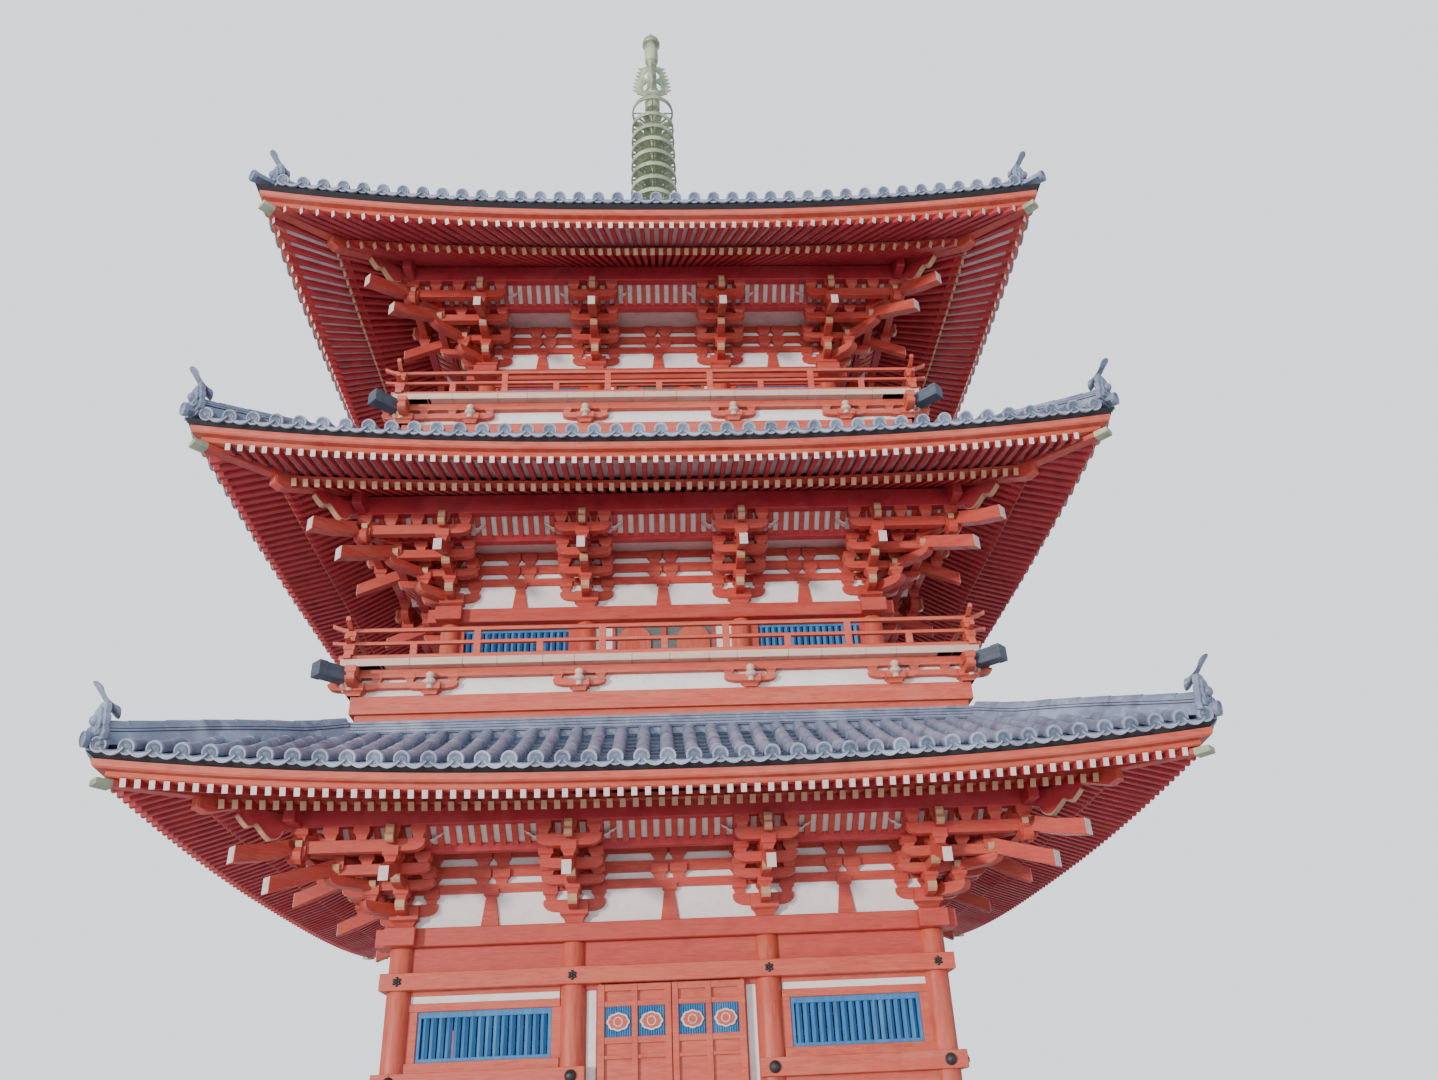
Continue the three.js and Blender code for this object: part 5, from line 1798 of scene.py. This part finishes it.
def ring_hoop(radius, is_open):
    """One ring of the finial: an outer hoop, and inside it a small hoop with spokes and leaves."""
    outer = turned([
        (radius - 0.030, -0.040), (radius - 0.004, -0.045), (radius, -0.030),
        (radius - 0.004, 0.040), (radius - 0.020, 0.045), (radius - 0.030, 0.035),
    ], 36)
    if is_open:
        thin = beam((0.05, -0.010, -0.012), (radius - 0.01, 0.010, 0.012), 0.003)
        return join([outer, copies(thin, QUARTERS)])
    inner = turned([(0.150, -0.030), (0.175, -0.030), (0.175, 0.030), (0.150, 0.030)], 24)
    spoke = beam((0.05, -0.014, -0.018), (radius - 0.01, 0.014, 0.018), 0.003)
    spokes = copies(spoke, [Matrix.Rotation(i * pi / 4, 4, "Z") for i in range(8)])
    leaf = plate([(0.19, -0.02), (0.26, -0.032), (radius - 0.03, -0.02), (0.26, 0.030)], 0.11, 0)
    leaves = copies(leaf, [Matrix.Rotation((i + 0.5) * pi / 4, 4, "Z") for i in range(8)])
    return join([outer, inner, spokes, leaves])


def add_finial():
    foot = FINIAL_FOOT
    box = squared([
        (0, 0), (0.425, 0), (0.425, 0.075), (0.415, 0.090), (0.360, 0.095), (0.360, 0.405), (0.375, 0.415),
        (0.430, 0.430), (0.430, 0.490), (0.420, 0.500), (0, 0.500),
    ])
    panel = beam((-0.15, -0.368, 0.13), (0.15, -0.355, 0.37), 0.006)
    panels = copies(panel, [q @ at(x, 0, 0) for q in QUARTERS for x in (-0.17, 0.17)])
    finish(moved(join([box, panels]), at(0, 0, foot)), "finial_box", "bronze", ["finial_base"])
    bowl = turned([
        (0, 0.50), (0.330, 0.50), (0.335, 0.52), (0.328, 0.57), (0.312, 0.66), (0.275, 0.75), (0.215, 0.83),
        (0.140, 0.88), (0.130, 0.92), (0, 0.92),
    ], 36)
    petals = []
    for row, (radius, low, tilt) in enumerate([(0.17, 0.90, 0.9), (0.15, 0.93, 0.6)]):
        petal = swept(
            [(-1, 0), (-0.5, -0.35), (0, -0.45), (0.5, -0.35), (1, 0), (0, -0.2)], 6,
            lambda u, t, v: Vector((
                u * 0.075 * sin(pi * (0.15 + 0.85 * t)) ** 0.6,
                -(radius + 0.16 * t * tilt) - v * 0.04,
                low + 0.18 * t ** 1.2,
            )),
        )
        petals.append(copies(petal, [Matrix.Rotation((i + row / 2) * pi / 4, 4, "Z") for i in range(8)]))
    hub = [
        (0.060, 0.38), (0.120, 0.36), (0.140, 0.33), (0.140, 0.25), (0.118, 0.235), (0.118, 0.205),
        (0.142, 0.19), (0.142, 0.10), (0.118, 0.085), (0.118, 0.055), (0.138, 0.04), (0.130, 0.005), (0, 0.001),
    ]
    hub = [(radius, FLAME_FOOT - foot - under) for radius, under in hub]
    shaft = turned([(0, 0.9), (0.060, 0.9), *hub], 20)
    collars = []
    for i in range(RING_COUNT):
        is_highest = i == RING_COUNT - 1
        radius = 0.425 - 0.005 * i
        height = TOP_RING - foot - (RING_COUNT - 1 - i) * RING_SPACING - (0 if is_highest else RING_GAP_TOP)
        collars.append(moved(ring_hoop(radius, is_highest), at(0, 0, height)))
        collars.append(moved(
            turned([(0.055, -0.08), (0.085, -0.07), (0.085, 0.07), (0.055, 0.08)], 14), at(0, 0, height)
        ))
    whole = moved(join([bowl, shaft, *petals, *collars]), at(0, 0, foot))
    finish(whole, "finial_rings", "bronze", ["finial_shaft"], smooth=40)
    add_flame()
    top = JEWEL_FOOT
    profile = [
        (0, 0), (0.07, 0), (0.074, 0.075), (0.100, 0.090), (0.124, 0.110), (0.129, 0.150), (0.130, 0.540),
        (0.120, 0.552), (0.120, 0.562), (0.158, 0.572), (0.169, 0.590), (0.169, 0.640), (0.158, 0.655),
        (0.158, 0.672), (0.146, 0.715), (0.112, 0.765), (0.060, 0.805), (0.030, 0.835), (0.020, 0.870),
        (0.012, 0.950),
    ]
    jewel = turned([*[(radius, top + height) for radius, height in profile], (0, FINIAL_TIP)], 24)
    finish(jewel, "finial_jewels", "bronze", ["finial_jewel"], smooth=60)


def add_flame():
    """Four openwork flame plates with combed edges round the top of the shaft."""
    low = FLAME_FOOT
    edge = [(0.060, 0.0), (0.290, 0.100)]
    for i in range(7):
        height = 0.15 + i * 0.10
        reach = 0.372 - 0.0022 * (i - 1) ** 2 - 0.010 * i
        edge += [(reach - 0.075, height), (reach, height + 0.055), (reach - 0.050, height + 0.064)]
    edge += [(0.060, 0.895)]
    inner = [(0.045, 0.895), (0.045, 0.0)]
    blade = plate([(x, low + z) for x, z in edge + inner], 0.026, 0.003)
    cut_low = [(0.10, 0.15), (0.17, 0.22), (0.16, 0.34), (0.09, 0.42)]
    cut_high = [(0.09, 0.50), (0.15, 0.56), (0.14, 0.66), (0.08, 0.74)]
    for outline in (cut_low, cut_high):
        hole = plate([(x, low + z) for x, z in outline], 0.06)
        select_only(blade)
        cutter = blade.modifiers.new("opening", "BOOLEAN")
        cutter.operation = "DIFFERENCE"
        cutter.solver = "EXACT"
        cutter.object = hole
        bpy.ops.object.modifier_apply(modifier=cutter.name)
        bpy.data.objects.remove(hole)
    column = turned([(radius, low + height) for radius, height in [
        (0, 0), (0.135, 0), (0.142, 0.02), (0.142, 0.085), (0.115, 0.10), (0.115, 0.12), (0.132, 0.135),
        (0.125, 0.175), (0.070, 0.20), (0.066, 0.55), (0.085, 0.60), (0.085, 0.66), (0.066, 0.70), (0.066, 0.82),
        (0.095, 0.86),
        (0.095, 0.895), (0, 0.895),
    ]], 18)
    flame = join([copies(blade, QUARTERS), column])
    finish(flame, "finial_flames", "bronze", ["finial_flame"], smooth=30)


# Podium, steps and floor.

STEP_COUNT = 4
STEP_DEPTH = 0.30


def stone_row(half, count, depth, low, high, seed):
    """A row of dressed stones along the front, with narrow joints. It ends where the next side's row begins."""
    length = 2 * half - depth
    cuts = [0.0]
    for i in range(count):
        cuts.append(cuts[-1] + 1 + 0.22 * sin(seed + 2.1 * i))
    scale = length / cuts[-1]
    stones = []
    for start, end in zip(cuts, cuts[1:]):
        stones.append(beam(
            (start * scale - half + 0.0025, -half, low + 0.002), (
                end * scale - half - 0.0025, -half + depth, high - 0.002
            ), 0.010,
        ))
    return join(stones)


def add_podium():
    half, top, course, overhang = 3.70, 0.80, 0.14, 0.06
    edge = half + overhang
    coping = stone_row(edge, 8, 0.50, top - course, top, 1.0)
    plinth = stone_row(edge, 9, 0.40, 0.002, course, 2.0)
    face = stone_row(half, 7, 0.30, course, top - course, 3.0)
    sides = all_sides(join([coping, plinth, face]))
    count, span = 9, 2 * (half - 0.44)
    size = span / count
    lines = [-span / 2 + i * size for i in range(count)]
    slab = beam((0.002, 0.002, top - 0.12), (size - 0.002, size - 0.002, top - 0.001), 0.006)
    paved = copies(slab, [at(x, y, 0) for y in lines for x in lines])
    finish(join([sides, paved]), "podium_stones", "stone", ["podium"])
    rise = top / (STEP_COUNT + 1)
    start = edge + 0.001
    treads = []
    for i in range(STEP_COUNT):
        depth = STEP_DEPTH * (STEP_COUNT - i)
        for s in (-1, 0, 1):
            treads.append(beam(
                (s * 0.8 - 0.398, -start - depth, rise * i + 0.001),
                (s * 0.8 + 0.398, -start, rise * (i + 1)), 0.012
            ))
    finish(join(treads), "step_stones", "stone", ["front_steps"])


def add_ground_floor():
    low = 0.803
    rim = ring([(2.60, low), (2.898, low), (2.898, FLOOR - 0.006), (2.892, FLOOR), (2.60, FLOOR)])
    finish(rim, "ground_sill_timbers", "vermilion")
    count = 22
    span = 5.24
    rows = []
    for k in range(count):
        start = -span / 2 + span * k / count
        rows.append(beam(
            (start + 0.0015, -span / 2, low), (start + span / count - 0.0015, span / 2, FLOOR - 0.001), 0
        ))
    finish(join(rows), "ground_floor_boards", "pale_wood", ["ground_floor"])


# Plain shapes that stay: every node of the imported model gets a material.

NODE_MATERIALS = {
    "podium": "stone", "front_steps": "stone", "ground_floor": "pale_wood", "wall_plate": "vermilion",
    "deck": "pale_wood", "pillars": "vermilion_posts", "balcony_base": "vermilion_painted_light", "walls": "plaster",
    "finial": "bronze", "roof_tiles": "roof_tile", "ridges": "roof_tile",
}


def dress_nodes():
    for name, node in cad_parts.items():
        material = next((NODE_MATERIALS[word] for word in NODE_MATERIALS if word in name), "vermilion")
        node.data.materials.clear()
        node.data.materials.append(MATERIALS[material])


# Floor and light.

def add_floor():
    bpy.ops.mesh.primitive_plane_add(size=400, location=(0, 0, -0.002))
    floor = bpy.context.object
    floor.name = "floor"
    floor.data.materials.append(Finish("pale_floor", (0.74, 0.73, 0.71), 0.9).material)


def add_area_light(name, place, target, size, power, colour):
    data = bpy.data.lights.new(name, "AREA")
    data.shape = "DISK"
    data.size = size
    data.energy = power
    data.color = colour
    light = bpy.data.objects.new(name, data)
    light.location = place
    light.rotation_euler = (Vector(target) - Vector(place)).to_track_quat("-Z", "Y").to_euler()
    bpy.context.scene.collection.objects.link(light)


def add_world():
    """Soft light from all round, with a paler tone behind the building."""
    world = bpy.data.worlds.new("pale_surroundings")
    world.use_nodes = True
    tree = world.node_tree
    soft = tree.nodes["Background"]
    soft.inputs["Color"].default_value = (0.76, 0.87, 1.0, 1)
    soft.inputs["Strength"].default_value = 1.0
    behind = tree.nodes.new("ShaderNodeBackground")
    behind.inputs["Color"].default_value = (0.90, 0.94, 1.0, 1)
    behind.inputs["Strength"].default_value = 1.6
    path = tree.nodes.new("ShaderNodeLightPath")
    mix = tree.nodes.new("ShaderNodeMixShader")
    tree.links.new(path.outputs["Is Camera Ray"], mix.inputs["Fac"])
    tree.links.new(soft.outputs["Background"], mix.inputs[1])
    tree.links.new(behind.outputs["Background"], mix.inputs[2])
    tree.links.new(mix.outputs["Shader"], tree.nodes["World Output"].inputs["Surface"])
    bpy.context.scene.world = world


def add_sun():
    data = bpy.data.lights.new("sun", "SUN")
    data.energy = 3.0
    data.angle = radians(6)
    data.color = (1.0, 0.91, 0.82)
    light = bpy.data.objects.new("sun", data)
    light.rotation_euler = Vector((0.66, 0.75, -0.05)).to_track_quat("-Z", "Y").to_euler()
    bpy.context.scene.collection.objects.link(light)


def add_lights():
    add_world()
    add_sun()
    add_area_light("top_fill", (-8, -24, 26), (0, 0, 9), 20, 2500, (0.86, 0.93, 1.0))
    add_area_light("low_front", (-4, -30, 1.5), (0, 0, 9), 20, 3500, (1.0, 0.95, 0.94))
    add_area_light("back_fill", (12, 28, 12), (0, 0, 9), 22, 3000, (0.95, 0.97, 1.0))


# The build, storey by storey.

dress_nodes()
for index, (storey, roof) in enumerate(zip(STOREYS, ROOFS)):
    is_top = index == 2
    add_wall_plate(storey)
    add_rafters(storey, roof, fanned=is_top)
    add_eave_boards(storey, roof)
    add_hip_rafters(storey, roof)
    add_tiles(storey, roof)
    add_ridges(storey, roof, is_top)
    add_brackets(storey)
    add_purlin(storey, roof)

ground = STOREYS[0]
add_pillars(ground, FLOOR + 0.001, ground["plate_low"], 3.173, ["first_pillars"])
add_ground_ties(ground)
add_ground_windows()
add_ground_boards(ground)
add_doors()
add_door_frames()

for storey, balcony in zip(STOREYS[1:], BALCONIES):
    add_pillars(
        storey, storey["floor"] + 0.001, storey["plate_low"], storey["plate_low"] - 0.04,
        [f"{storey['name']}_pillars"]
    )
    add_upper_walls(storey)
    add_balcony_base(balcony)
    add_deck(balcony)
    add_railing(balcony)

add_finial()
add_podium()
add_ground_floor()
add_floor()
add_lights()
add_camera()
